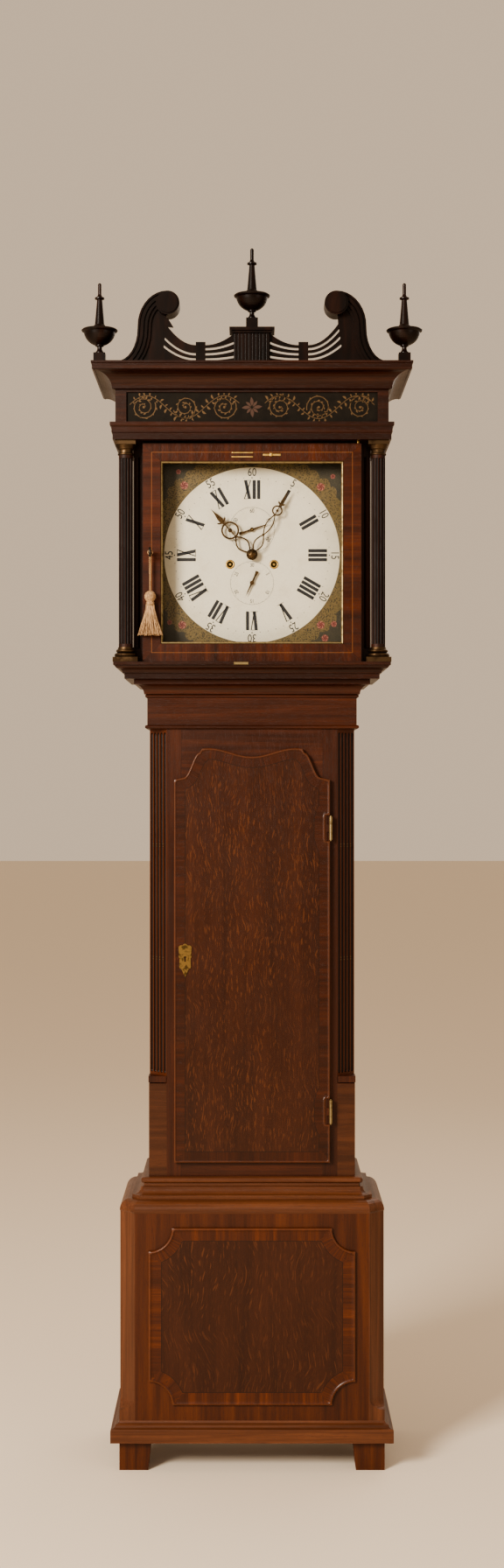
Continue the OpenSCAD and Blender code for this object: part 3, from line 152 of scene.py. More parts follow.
# dark, middle and light tone of each wood; some sets are one wood painted darker or lighter for where the light
# falls, as noted below
woodTones = {
    # hood: the mahogany painted darker, painted shade over the hood, which stands in shadow
    "hood": ((0.009, 0.0024, 0.0011), (0.021, 0.0054, 0.0021), (0.052, 0.0135, 0.0048)),
    "mahogany": ((0.024, 0.0056, 0.0018), (0.055, 0.0135, 0.0038), (0.098, 0.0260, 0.0074)),
    "trunk": ((0.019, 0.0044, 0.0014), (0.038, 0.0094, 0.0034), (0.078, 0.0196, 0.0066)),
    # warm: a paler mahogany; on the canted base corners it is painted light
    "warm": ((0.046, 0.0150, 0.0062), (0.092, 0.0310, 0.0130), (0.160, 0.0580, 0.0250)),
    "figured": ((0.026, 0.0076, 0.0030), (0.050, 0.0155, 0.0058), (0.088, 0.0285, 0.0105)),
    "banding": ((0.016, 0.0036, 0.0012), (0.042, 0.0092, 0.0026), (0.088, 0.0200, 0.0054)),
    "doorEdge": ((0.018, 0.0044, 0.0014), (0.034, 0.0082, 0.0026), (0.066, 0.0158, 0.0046)),
    "panelEdge": ((0.026, 0.0060, 0.0019), (0.052, 0.0125, 0.0036), (0.125, 0.0300, 0.0080)),
    # shade: nearly black, partly the dark turned wood and partly painted shade at the top of the case
    "shade": ((0.0034, 0.0013, 0.0008), (0.0068, 0.0023, 0.0013), (0.0160, 0.0050, 0.0024)),
    "oak": ((0.022, 0.0058, 0.0022), (0.034, 0.0090, 0.0034), (0.050, 0.0138, 0.0052)),
    "pine": ((0.13, 0.075, 0.036), (0.26, 0.165, 0.085), (0.37, 0.255, 0.145)),
}


# grain: long soft figure, fine fibres and short dark pores, all stretched along the third coordinate
def grain(f, along, tones, coarse=1.0):
    dark, middle, light = woodTones[tones]
    figure = f.noise(f.scaled(along, (34 * coarse, 34 * coarse, 1.6)), 1.0, 4.0, 1.4)
    streak = f.noise(f.scaled(along, (210 * coarse, 210 * coarse, 3.2)), 1.0, 3.0, 0.3)
    fibre = f.noise(f.scaled(along, (1250, 1250, 26)), 1.0, 2.0)
    pore = f.step(f.noise(f.scaled(along, (1900, 1900, 70)), 1.0, 1.0), 0.60, 0.72)
    tone = figure * 0.55 + streak * 0.33 + fibre * 0.20
    colour = f.ramp(tone, [(0.34, dark), (0.53, middle), (0.74, light)])
    return f.mix(pore * 0.62, colour, dark), pore, fibre


def polish(f, colour, pore, fibre, rough=0.32, coat=0.10):
    wear = f.noise(f.place, 14.0, 4.0)
    height = fibre * 0.35 - pore
    f.set(Base_Color=colour, Roughness=rough + 0.18 * wear + 0.10 * pore,
          Normal=f.bump(height, 0.00012, 0.55))
    return f.set(Coat_Weight=coat, Coat_Roughness=0.16, Specular_IOR_Level=0.22)


# plain board with its grain along one axis
def boardFinish(name, tones, axis="z", rough=0.32, coat=0.10, coarse=1.0):
    f = Finish(name)
    x, y, z = f.split(f.place)
    along = {"x": (y, z, x), "y": (x, z, y), "z": (x, y, z)}[axis]
    colour, pore, fibre = grain(f, f.join(*along), tones, coarse)
    return polish(f, colour, pore, fibre, rough, coat)


# moulding that runs along the front and turns the corner on a mitre at (half, front)
def mouldingFinish(name, tones, half, front, rough=0.28):
    f = Finish(name)
    x, y, z = f.split(f.place)
    side = f.math("GREATER_THAN", abs(x) - half + y - front, 0.0)
    run = x * (1 - side) + y * side
    across = y * (1 - side) + x * side
    colour, pore, fibre = grain(f, f.join(across, z, run), tones)
    joint = 1 - f.step(abs(abs(x) - half + y - front), 0.0, 0.0006)
    dust = f.noise(f.place, 55.0, 4.0)
    colour = f.mix(joint * 0.7, f.mix(dust * 0.25, colour, woodTones[tones][0]), (0.004, 0.002, 0.001))
    return polish(f, colour, pore, fibre, rough, 0.12)


# turned or carved wood without open grain, nearly black: partly the dark wood itself, partly painted shade, as it
# stands at the top of the case in shadow
def turnedFinish(name, tones, rough, coat):
    f = Finish(name)
    dark, middle, light = woodTones[tones]
    figure = f.noise(f.scaled(f.place, (40, 40, 9)), 1.0, 3.0, 0.6)
    colour = f.ramp(figure, [(0.34, dark), (0.52, middle), (0.72, light)])
    handled = f.noise(f.place, 26.0, 3.0)
    f.set(Base_Color=colour, Roughness=rough + 0.16 * handled)
    return f.set(Coat_Weight=coat, Coat_Roughness=0.22, Specular_IOR_Level=0.15)


def metalFinish(name, colour, dull, rough, patina=0.45, scale=90.0):
    f = Finish(name)
    stain = f.step(f.noise(f.place, scale, 5.0), 0.42, 0.68)
    scratch = f.noise(f.scaled(f.place, (60, 700, 700)), 1.0, 2.0)
    f.set(Base_Color=f.mix(stain * patina, colour, dull), Roughness=rough + 0.22 * stain + 0.08 * scratch,
          Normal=f.bump(scratch + stain * 0.6, 0.00008, 0.4))
    return f.set(Metallic=1.0)


def ironFinish():
    f = Finish("castIron")
    pits = f.noise(f.place, 420.0, 5.0)
    rust = f.step(f.noise(f.place, 26.0, 5.0), 0.50, 0.72)
    f.set(Base_Color=f.mix(rust * 0.7, (0.035, 0.033, 0.032), (0.085, 0.036, 0.016)),
          Roughness=0.55 + 0.25 * rust, Normal=f.bump(pits, 0.0005, 0.6))
    return f.set(Metallic=0.55)


def glassFinish():
    f = Finish("paneGlass")
    ripple = f.noise(f.place, 9.0, 2.0)
    f.set(Base_Color=(0.020, 0.024, 0.022), Normal=f.bump(ripple, 0.0006, 0.25))
    f.set(Roughness=0.03, Alpha=0.045, IOR=1.46)
    f.material.surface_render_method = "BLENDED"
    return f.material


def gutFinish():
    f = Finish("gutCord")
    twist = f.node("ShaderNodeUVMap", {}, {})
    u, v, w = f.split(twist)
    strand = f.math("SINE", (u * 3 + v) * (2 * math.pi), 0.0)
    f.set(Base_Color=f.mix(f.step(strand, -0.9, 0.6), (0.16, 0.095, 0.04), (0.42, 0.29, 0.13)),
          Normal=f.bump(strand, 0.0004, 0.8))
    return f.set(Roughness=0.42)


hoodShadedUp = boardFinish("hoodMahoganyInPaintedShade", "hood", "z")
mahoganyUp = boardFinish("mahoganyUp", "mahogany", "z")
mahoganyAcross = boardFinish("mahoganyAcross", "mahogany", "x")
trunkUp = boardFinish("trunkMahogany", "trunk", "z")
turnedWood = turnedFinish("turnedMahogany", "shade", 0.30, 0.10)
pine = boardFinish("pineBoard", "pine", "z", 0.62, 0.0, 0.6)
pineAcross = boardFinish("pineShelf", "pine", "x", 0.62, 0.0, 0.6)
brass = metalFinish("agedBrass", (0.60, 0.41, 0.15), (0.20, 0.115, 0.040), 0.27)
brightBrass = metalFinish("handBrass", (0.115, 0.070, 0.032), (0.022, 0.013, 0.007), 0.34, 0.85, 240.0)
slipBrass = metalFinish("slipBrass", (0.27, 0.205, 0.105), (0.10, 0.070, 0.034), 0.36, 0.6, 120.0)
darkBrass = metalFinish("castBrass", (0.235, 0.150, 0.055), (0.050, 0.030, 0.013), 0.36, 0.9, 160.0)
keyIron = metalFinish("keyIron", (0.060, 0.050, 0.044), (0.020, 0.014, 0.011), 0.42, 0.7, 160.0)
mountBrass = metalFinish("columnBrass", (0.085, 0.054, 0.030), (0.026, 0.015, 0.009), 0.38, 0.8, 60.0)
steel = metalFinish("arborSteel", (0.52, 0.53, 0.55), (0.20, 0.18, 0.16), 0.24, 0.3)
bellMetal = metalFinish("bellMetal", (0.66, 0.60, 0.46), (0.30, 0.25, 0.16), 0.22, 0.4)
iron = ironFinish()
glass = glassFinish()
gut = gutFinish()
print("plain finishes made")


# surface from a grid of points (rows, columns, 3); columns or rows may close on themselves
def gridFaces(rows, columns, closeRows=False, closeColumns=False):
    r = np.arange(rows if closeRows else rows - 1)
    c = np.arange(columns if closeColumns else columns - 1)
    a, b = np.meshgrid(r, c, indexing="ij")
    a2 = (a + 1) % rows
    b2 = (b + 1) % columns
    return np.stack([a * columns + b, a * columns + b2, a2 * columns + b2, a2 * columns + b], -1).reshape(-1, 4)


def putObject(name, data):
    made = bpy.data.objects.new(name, data)
    bpy.context.scene.collection.objects.link(made)
    return made


# a mesh put into the scene, riding on a body where one is named
def putPiece(name, mesh, material, body):
    mesh.update()
    piece = putObject(name, mesh)
    mesh.materials.append(material)
    if body:
        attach(piece, body)
    return piece


def meshPiece(name, points, faces, material, body, smooth=True, uv=None, fields=None):
    mesh = bpy.data.meshes.new(name)
    mesh.from_pydata(np.asarray(points).reshape(-1, 3).tolist(), [], np.asarray(faces).tolist())
    if uv is not None:
        layer = mesh.uv_layers.new(name="UVMap")
        owners = np.empty(len(mesh.loops), dtype=np.int32)
        mesh.loops.foreach_get("vertex_index", owners)
        layer.data.foreach_set("uv", np.asarray(uv, dtype=np.float32).reshape(-1, 2)[owners].ravel())
    for key, values in (fields or {}).items():
        layer = mesh.attributes.new(key, "FLOAT", "POINT")
        layer.data.foreach_set("value", np.asarray(values, dtype=np.float32).ravel())
    mesh.polygons.foreach_set("use_smooth", np.full(len(mesh.polygons), smooth))
    return putPiece(name, mesh, material, body)


# many small closed solids: each is an outline in X and Z, given a thickness along Y
def platesPiece(name, outlines, front, back, material, body):
    points, faces = [], []
    for outline in outlines:
        n = len(outline)
        start = len(points)
        points += [(p[0], front, p[1]) for p in outline] + [(p[0], back, p[1]) for p in outline]
        faces.append([start + i for i in range(n)])
        faces.append([start + 2 * n - 1 - i for i in range(n)])
        faces += [[start + i, start + n + i, start + n + (i + 1) % n, start + (i + 1) % n] for i in range(n)]
    mesh = bpy.data.meshes.new(name)
    mesh.from_pydata(points, [], faces)
    return putPiece(name, mesh, material, body)


def paint(material, *nodes):
    for node in nodes:
        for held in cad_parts[node].material_slots:
            held.material = material


mm = 0.001


# low and high corner of the box round one node
def corners(node):
    return [[float(v) for v in p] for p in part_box(node)]


dialLow, dialHigh = corners("dial")
dialX = 0.0
dialZ = (dialLow[2] + dialHigh[2]) / 2
dialFace = dialLow[1]
doorLow, doorHigh = corners("trunk_door")
hoodDoorLow, hoodDoorHigh = corners("hood_door_frame")
friezeLow, friezeHigh = corners("frieze_panel")
panelLow, panelHigh = corners("base_panel")
print("places read")


dialLook = {
    "circle": 168 * mm, "band": 36 * mm, "face": (0.700, 0.665, 0.540), "ground": (0.030, 0.026, 0.017),
    "gold": (0.190, 0.125, 0.046), "rose": (0.115, 0.014, 0.013), "petal": (0.36, 0.150, 0.110),
    "roses": [(131, -133, 8), (156, -131, 6), (139, -158, 7), (131, 130, 8), (-129, 133, 8), (-140, 159, 5),
              (-133, -133, 8), (-157, -128, 5), (154, 150, 5)],
    "ink": (0.010, 0.009, 0.010),
}


# cream disc in a dark square; a scalloped gold band with roses on it follows the disc at the corners
def dialFinish():
    look = dialLook
    circle = look["circle"]
    f = Finish("paintedDial")
    x, y, z = f.split(f.place)
    u = x - dialX
    v = z - dialZ
    radius = f.math("SQRT", u * u + v * v, 0.0)
    angle = f.math("ARCTAN2", v, u)
    stain = f.noise(f.place, 24.0, 5.0)
    mottle = f.step(stain, 0.45, 0.75)
    spots = f.step(f.cells(f.place, 170.0), 0.10, 0.05) * f.step(f.noise(f.place, 60.0), 0.55, 0.65)
    cracks = 1 - f.step(f.cells(f.place, 95.0, "DISTANCE_TO_EDGE"), 0.0, 0.022)
    rim = f.step(radius, circle * 0.80, circle)
    face = f.mix(mottle * 0.35 + rim * 0.25, look["face"], (0.52, 0.465, 0.33))
    face = f.mix(spots * 0.35 + cracks * 0.16, face, (0.20, 0.14, 0.07))
    corner = abs(f.math("SINE", angle * 2, 0.0))
    scallop = abs(f.math("SINE", angle * 26, 0.0)) * 0.16 + abs(f.math("SINE", angle * 11, 0.0)) * 0.14
    width = corner * look["band"] * (scallop + 0.72)
    inBand = f.step(radius - circle - width, 0.0009, 0.0)
    dapple = f.step(f.cells(f.place, 330.0), 0.30, 0.42)
    leafy = f.noise(f.place, 210.0, 3.0)
    gold = f.mix(dapple, (0.028, 0.022, 0.012), f.mix(leafy, look["gold"], (0.085, 0.070, 0.026)))
    ground = f.mix(f.noise(f.place, 130.0, 4.0), look["ground"], (0.060, 0.050, 0.028))
    colour = f.mix(inBand, ground, gold)
    for roseX, roseZ, size in look["roses"]:
        a = u - roseX * mm
        b = v - roseZ * mm
        far = f.math("SQRT", a * a + b * b, 0.0) / (size * mm)
        petals = f.math("SINE", f.math("ARCTAN2", b, a) * 5 + far * 9, 0.0)
        edge = f.step(far + petals * 0.07, 1.0, 0.86)
        shade = f.step(petals * 0.5 + far, 0.2, 1.2)
        colour = f.mix(edge, colour, f.mix(shade, look["rose"], look["petal"]))
    inside = f.step(radius, circle + 0.0003, circle - 0.0003)
    line = 1 - f.step(abs(radius - circle), 0.0005, 0.0010)
    colour = f.mix(inside, colour, face)
    colour = f.mix(line, colour, (0.12, 0.085, 0.035))
    f.set(Base_Color=colour, Roughness=0.38 + 0.2 * mottle, Normal=f.bump(leafy - cracks * 0.4, 0.0001, 0.35))
    return f.set(Coat_Weight=0.25, Coat_Roughness=0.22)


def inkFinish(name, colour, metallic=0.0, rough=0.5):
    f = Finish(name)
    worn = f.noise(f.place, 300.0, 4.0)
    f.set(Base_Color=f.mix(f.step(worn, 0.52, 0.80) * 0.45, colour, tuple(0.5 * c + 0.012 for c in colour)),
          Roughness=rough + 0.15 * worn, Normal=f.bump(worn, 0.00006, 0.3))
    return f.set(Metallic=metallic)


dialInk = inkFinish("dialInk", dialLook["ink"])
paint(dialFinish(), "dial")

numeralLook = {
    "hours": ["XII", "I", "II", "III", "IIII", "V", "VI", "VII", "VIII", "IX", "X", "XI"],
    "inner": 107.5 * mm, "outer": 142.5 * mm, "thick": 6.0 * mm, "thin": 1.8 * mm,
    "gap": 1.7 * mm, "serif": 0.4 * mm,
    "advance": {"I": 8.6 * mm, "V": 17.0 * mm, "X": 17.0 * mm},
    "dots": 147.5 * mm, "minutes": 157.5 * mm, "minuteSize": 22.0 * mm, "lift": 0.25 * mm,
}


# a point given across and out along a radius of the dial, turned clockwise from twelve
def onDial(centre, across, out, turn):
    c, s = math.cos(turn), math.sin(turn)
    return (centre[0] + across * c + out * s, centre[1] - across * s + out * c)


def disc(centre, radius, sides):
    turns = np.linspace(0, 2 * math.pi, sides, endpoint=False)
    return [(centre[0] + radius * math.cos(a), centre[1] + radius * math.sin(a)) for a in turns]


def romanStrokes(letters, look):
    low, high = look["inner"], look["outer"]
    total = sum(look["advance"][letter] for letter in letters)
    at = -total / 2
    strokes = []
    for letter in letters:
        w = look["advance"][letter]
        a, b = at + look["gap"], at + w - look["gap"]
        h, t = look["thick"], look["thin"]
        mid = (a + b) / 2
        # left edge at the foot and at the head, then the width
        bars = {"I": [(mid - h / 2, mid - h / 2, h)], "V": [(mid - h / 2, a, h), (mid - t / 2, b - t, t)],
                "X": [(b - h, a, h), (a, b - t, t)]}
        for foot, head, wide in bars[letter]:
            strokes.append([(foot, low), (foot + wide, low), (head + wide, high), (head, high)])
        for level in (low, high):
            under, over = level - look["serif"], level + look["serif"]
            strokes.append([(a, under), (b, under), (b, over), (a, over)])
        at += w
    return strokes


def hourNumerals():
    outlines = []
    for hour, letters in enumerate(numeralLook["hours"]):
        turn = math.radians(30 * hour)
        for stroke in romanStrokes(letters, numeralLook):
            outlines.append([onDial((dialX, dialZ), a, r, turn) for a, r in stroke])
    for minute in range(60):
        size = (1.25 if minute % 5 == 0 else 0.75) * mm
        spot = onDial((dialX, dialZ), 0.0, numeralLook["dots"], math.radians(6 * minute))
        outlines.append(disc(spot, size, 8))
    front = dialFace - numeralLook["lift"]
    platesPiece("hourNumerals", outlines, front, dialFace, dialInk, "case")


# figures set round a centre, every one with its foot towards it
def figures(name, words, centre, radius, size, squeeze=0.78):
    points, faces = [], []
    for i, word in enumerate(words):
        text = bpy.data.curves.new(name + "Text", "FONT")
        text.body = word
        text.size = size
        text.align_x = "CENTER"
        text.align_y = "CENTER"
        text.resolution_u = 3
        holder = putObject(name + "Text", text)
        bpy.context.view_layer.update()
        flat = bpy.data.meshes.new_from_object(holder.evaluated_get(bpy.context.evaluated_depsgraph_get()))
        spots = np.array([v.co for v in flat.vertices])
        turn = 2 * math.pi * (i + 1) / len(words)
        px, pz = onDial(centre, spots[:, 0] * squeeze, spots[:, 1] + radius, turn)
        start = len(points)
        points += np.stack([px, np.full(len(px), dialFace - numeralLook["lift"]), pz], -1).tolist()
        faces += [[start + v for v in polygon.vertices] for polygon in flat.polygons]
        bpy.data.objects.remove(holder)
        bpy.data.curves.remove(text)
        bpy.data.meshes.remove(flat)
    mesh = bpy.data.meshes.new(name)
    mesh.from_pydata(points, [], faces)
    piece = putPiece(name, mesh, dialInk, "case")
    thick = piece.modifiers.new("thickness", "SOLIDIFY")
    thick.thickness = 0.2 * mm
    thick.offset = -1.0


# ring about a centre: a closed profile of (radius, y) carried round
def turnedRing(name, centre, profile, material, body, sides=72, smooth=True):
    turn = np.linspace(0, 2 * math.pi, sides, endpoint=False)[:, None]
    r = np.array([p[0] for p in profile])[None, :]
    y = np.array([p[1] for p in profile])[None, :]
    points = np.stack([centre[0] + r * np.sin(turn), y + 0 * turn, centre[1] + r * np.cos(turn)], -1)
    faces = gridFaces(sides, len(profile), True, True)[:, ::-1]
    return meshPiece(name, points, faces, material, body, smooth)


def inkRing(name, centre, inner):
    front, outer = dialFace - 0.22 * mm, inner + 0.35 * mm
    profile = [(inner, front), (outer, front), (outer, dialFace), (inner, dialFace)]
    turnedRing(name, centre, profile, dialInk, "case", smooth=False)


dialParts = {
    "seconds": (0.0, 48.4 * mm), "secondsRing": 43 * mm, "secondsSize": 11.0 * mm,
    "date": (0.0, -53 * mm), "dateRing": 41 * mm, "dateSize": 10.0 * mm, "figureDrop": 7 * mm,
    "winding": (41.8 * mm, -17.4 * mm), "collet": 8.7 * mm, "hole": 5.4 * mm,
}


def smallDials():
    d = dialParts
    seconds = (dialX + d["seconds"][0], dialZ + d["seconds"][1])
    date = (dialX + d["date"][0], dialZ + d["date"][1])
    middle = (dialX, dialZ)
    for name, pitch, last, centre, ring, size in (
            ("minuteFigures", 5, 60, middle, numeralLook["minutes"], numeralLook["minuteSize"]),
            ("secondFigures", 10, 60, seconds, d["secondsRing"] - d["figureDrop"], d["secondsSize"]),
            ("dateFigures", 5, 30, date, d["dateRing"] - d["figureDrop"], d["dateSize"])):
        figures(name, [str(n) for n in range(pitch, last + 1, pitch)], centre, ring, size)
    ticks = []
    for centre, ring, count in ((seconds, d["secondsRing"], 60), (date, d["dateRing"], 31)):
        for i in range(count):
            turn = 2 * math.pi * i / count
            long = 2.6 * mm if i % 5 == 0 else 1.5 * mm
            ticks.append([onDial(centre, s * 0.18 * mm, r, turn)
                          for s, r in ((-1, ring - long), (1, ring - long), (1, ring), (-1, ring))])
    platesPiece("smallDialTicks", ticks, dialFace - 0.2 * mm, dialFace, dialInk, "case")
    inkRing("secondsCircle", seconds, d["secondsRing"])
    inkRing("dateCircle", date, d["dateRing"])
    for side, name in ((-1, "strike"), (1, "going")):
        centre = (dialX + side * d["winding"][0], dialZ + d["winding"][1])
        inner, outer = d["hole"], d["collet"]
        profile = [(inner, 1), (inner, -0.8), (inner + 0.8 * mm, -1.6), (outer - 1.2 * mm, -1.5),
                   (outer, -0.6), (outer, 0)]
        profile = [(r, dialFace + y * mm) for r, y in profile]
        turnedRing(name + "Collet", centre, profile, brass, "case", 48)


hourNumerals()
smallDials()
print("dial painted")


friezeLook = {"scrolls": [(203, 1), (125, -1), (52, 1)], "radius": 21.5 * mm, "turns": 2.1, "width": 1.5 * mm,
              "gold": (0.105, 0.058, 0.021), "flower": (0.050, 0.018, 0.007), "lift": 0.35 * mm}
goldPaint = inkFinish("goldPaint", friezeLook["gold"], 0.35, 0.45)
flowerPaint = inkFinish("flowerPaint", friezeLook["flower"], 0.1, 0.5)


# flat band along a path of (x, z) points, as wide as the given widths
def bandOutline(path, widths):
    path = np.asarray(path)
    step = np.gradient(path, axis=0)
    step /= np.linalg.norm(step, axis=1)[:, None] + 1e-12
    normal = np.stack([-step[:, 1], step[:, 0]], -1) * np.asarray(widths)[:, None] / 2
    return np.concatenate([path + normal, (path - normal)[::-1]]).tolist()


# pointed leaf from a root point, in a direction, curling a little
def leaf(root, turn, length, curl):
    t = np.linspace(0, 1, 7)
    bend = turn + curl * t
    x = root[0] + np.cumsum(np.cos(bend)) * length / 7
    z = root[1] + np.cumsum(np.sin(bend)) * length / 7
    widths = length * 0.34 * np.sin(math.pi * np.clip(t, 0.03, 0.97)) + 0.15 * mm
    return bandOutline(np.stack([x, z], -1), widths)


# spiral whorls with leaves outside them, joined by a waving stem
def friezeScrolls():
    look = friezeLook
    middle = (friezeLow[2] + friezeHigh[2]) / 2
    rng = np.random.default_rng(7)
    outlines = []
    for mirror in (-1, 1):
        for x, spin in look["scrolls"]:
            centre = np.array([mirror * x * mm, middle])
            t = np.linspace(0, 1, 70)
            turn = mirror * spin * (look["turns"] * 2 * math.pi * t) + (0.4 if spin > 0 else 3.4)
            r = look["radius"] * (1 - t) ** 0.85 + 1.4 * mm
            path = centre + np.stack([r * np.cos(turn), r * np.sin(turn)], -1)
            outlines.append(bandOutline(path, look["width"] * (1.15 - 0.55 * t)))
            outlines.append(disc(centre, 2.4 * mm, 9))
            for i in range(2, 62, 3):
                ahead = math.atan2(*(path[i + 1] - path[i])[::-1])
                side = -mirror * spin
                lean = ahead + side * rng.uniform(0.4, 1.1)
                outlines.append(leaf(path[i], lean, rng.uniform(3.4, 7.0) * mm, -side * 0.9))
        reach = friezeHigh[0] - 6 * mm
        s = np.linspace(24 * mm, reach, 90)
        stem = np.stack([mirror * s, middle + 21.5 * mm * np.cos((s - 52 * mm) / (73 * mm) * math.pi)], -1)
        outlines.append(bandOutline(stem, np.full(90, look["width"] * 0.8)))
        for i in range(2, 88, 2):
            side = 1 if i % 4 else -1
            ahead = math.atan2(*(stem[i + 1] - stem[i])[::-1])
            lean = ahead + side * rng.uniform(0.6, 1.2)
            outlines.append(leaf(stem[i], lean, rng.uniform(6, 12) * mm, side * 1.4))
    low, high = friezeLow[2] + 1.2 * mm, friezeHigh[2] - 1.2 * mm
    outlines = [[(p[0], min(max(p[1], low), high)) for p in outline] for outline in outlines]
    face = friezeLow[1]
    flower = [leaf((0.0, middle), i * math.pi / 4, (19 if i % 2 == 0 else 15) * mm, 0.15) for i in range(8)]
    for name, plates, colour in (("friezeScrolls", outlines, goldPaint), ("friezeFlower", flower, flowerPaint)):
        platesPiece(name, plates, face - look["lift"], face, colour, "hood")


def friezeFinish():
    f = Finish("friezeGround")
    worn = f.noise(f.place, 60.0, 5.0)
    fleck = f.step(f.cells(f.place, 420.0), 0.16, 0.08) * f.step(f.noise(f.place, 90.0), 0.45, 0.60)
    colour = f.mix(worn, (0.0045, 0.0036, 0.0030), (0.018, 0.0135, 0.0090))
    f.set(Base_Color=f.mix(fleck * 0.6, colour, (0.10, 0.055, 0.02)), Roughness=0.40 + 0.3 * worn)
    return f.set(Specular_IOR_Level=0.10)


paint(friezeFinish(), "frieze_panel")
friezeScrolls()
print("frieze painted")


caseLook = {"entabHalf": 256 * mm, "entabStep": 4 * mm, "hoodFront": -74 * mm, "baseCant": 28 * mm,
            "stile": 18 * mm}
baseHalf, baseFront = corners("base_carcass")[1][0], corners("base_carcass")[0][1]
trunkHalf, trunkFace = corners("trunk_sides")[1][0], corners("trunk_front")[0][1]
hoodHalf = corners("hood_frame")[1][0]
# wood, then half width and front of the line through the mitre
for tones, half, front, *nodes in (
        ("warm", baseHalf, baseFront, "skirt_moulding", "base_top_moulding"),
        ("trunk", trunkHalf, trunkFace, "throat_moulding"),
        # the hood rows take the hood set: mahogany painted darker as painted shade
        ("hood", hoodHalf, caseLook["hoodFront"], "hood_base_moulding"),
        ("hood", caseLook["entabHalf"], friezeLow[1] - caseLook["entabStep"], "hood_architrave", "hood_cornice")):
    for node in nodes:
        paint(mouldingFinish(node + "Wood", tones, half, front), node)


# the last colour is the near black of the painted shade in the flutes
cornerLook = {"width": 33.6 * mm, "flute": 2.4 * mm, "block": 178 * mm, "hollow": (0.0030, 0.0012, 0.0007)}


# fluted corner post: painted shade in the flutes and a painted highlight on the ridges between them, with a paler
# figured block below
def cornerFinish():
    f = Finish("flutedCorner")
    look = cornerLook
    x, y, z = f.split(f.place)
    face = (trunkHalf - trunkFace - look["width"]) / math.sqrt(2)
    depth = face - (abs(x) - y) * (1 / math.sqrt(2))
    block = f.math("LESS_THAN", z, corners("trunk_corners")[0][2] + look["block"] - 2 * mm)
    up, pore, fibre = grain(f, f.place, "trunk")
    flame = grain(f, f.join(z, y, x), "figured", 0.6)[0]
    # painted shade in the flutes
    hollow = f.step(depth, 0.2 * mm, look["flute"]) * (1 - block)
    up = f.mix(hollow * 0.88, up, look["hollow"])
    # painted highlight along the ridges between the flutes
    paintedRidgeHighlight = f.step(abs(depth), 0.5 * mm, 0.1 * mm) * (1 - block)
    up = f.mix(paintedRidgeHighlight * 0.75, up, woodTones["trunk"][2])
    return polish(f, f.mix(block, up, flame), pore, fibre)


# base posts and front: quiet wood, with painted light on the canted corners, which take the paler warm tone
def baseFinish():
    f = Finish("baseMahogany")
    x, y, z = f.split(f.place)
    onCant = f.math("GREATER_THAN", abs(x) - y, baseHalf - baseFront - caseLook["baseCant"] - 1.5 * mm)
    colour, pore, fibre = grain(f, f.place, "mahogany", 0.7)
    # paler wood on both canted corners: painted light
    paintedCantLight = grain(f, f.place, "warm", 1.3)[0]
    return polish(f, f.mix(onCant, colour, paintedCantLight), pore, fibre)


# frame round the door: a rail with its grain across between two uprights
def frameFinish():
    f = Finish("doorFrameMahogany")
    x, y, z = f.split(f.place)
    rail = f.math("LESS_THAN", abs(x), doorHigh[0] - caseLook["stile"])
    across = grain(f, f.join(z, y, x), "trunk")[0]
    up, pore, fibre = grain(f, f.place, "trunk")
    joint = 1 - f.step(abs(abs(x) - doorHigh[0] + caseLook["stile"]), 0.0002, 0.0008)
    colour = f.mix(joint * 0.6, f.mix(rail, up, across), woodTones["trunk"][0])
    return polish(f, colour, pore, fibre)


knuckleLook = {"line": (149.5 * mm, -57.5 * mm), "radius": 3.4 * mm, "brass": (0.24, 0.180, 0.092)}


# door of plain wood with its brass hinge knuckles, which turn about the hinge line
def doorFinish():
    f = Finish("doorMahogany")
    x, y, z = f.split(f.place)
    colour, pore, fibre = grain(f, f.place, "trunk")
    dx = x - knuckleLook["line"][0]
    dy = y - knuckleLook["line"][1]
    knuckle = f.math("LESS_THAN", dx * dx + dy * dy, knuckleLook["radius"] ** 2)
    polish(f, f.mix(knuckle, colour, knuckleLook["brass"]), pore, fibre)
    return f.set(Metallic=knuckle)


# the last colour is the near black of the painted shade in the flutes
columnLook = {"radius": 13.4 * mm, "flute": 1.6 * mm, "hollow": (0.0025, 0.0011, 0.0008)}


# hood columns: painted shade in the flutes
def columnFinish():
    f = Finish("columnMahogany")
    x, y, z = f.split(f.place)
    low, high = corners("hood_columns")
    dx = abs(x) - (high[0] - (high[1] - low[1]) / 2)
    dy = y - (high[1] + low[1]) / 2
    depth = columnLook["radius"] - f.math("SQRT", dx * dx + dy * dy, 0.0)
    colour, pore, fibre = grain(f, f.place, "hood")
    # painted shade in the flutes
    colour = f.mix(f.step(depth, 0.1 * mm, columnLook["flute"]) * 0.9, colour, columnLook["hollow"])
    return polish(f, colour, pore, fibre, 0.46, 0.0)


paint(baseFinish(), "base_carcass")
paint(mahoganyUp, "feet")
# hood frame in the hood set: painted shade
paint(hoodShadedUp, "hood_frame")
paint(trunkUp, "trunk_sides")
paint(doorFinish(), "trunk_door")
paint(frameFinish(), "trunk_front")
paint(cornerFinish(), "trunk_corners")
paint(columnFinish(), "hood_columns")
paint(mahoganyAcross, "base_panel")
paint(pine, "backboard")
paint(pineAcross, "seatboard")
paint(turnedWood, "finials", "swan_necks", "pediment_fret")
paint(mountBrass, "column_mounts")
paint(slipBrass, "case_hinges")
paint(brass, "front_plate", "back_plate", "centre_wheel", "minute_wheel", "hour_wheel", "third_wheel",
      "escape_wheel", "going_great_wheel", "going_drum", "going_pulley", "strike_great_wheel", "strike_drum",
      "strike_pulley", "pin_wheel", "gathering_wheel", "warning_wheel", "fly", "hood_door_pivots", "pendulum_bob")
paint(darkBrass, "trunk_lock")
paint(keyIron, "hood_key")
paint(brightBrass, "minute_hand", "hour_hand", "seconds_hand", "date_hand")
paint(steel, "anchor", "pendulum_rod", "hammer")
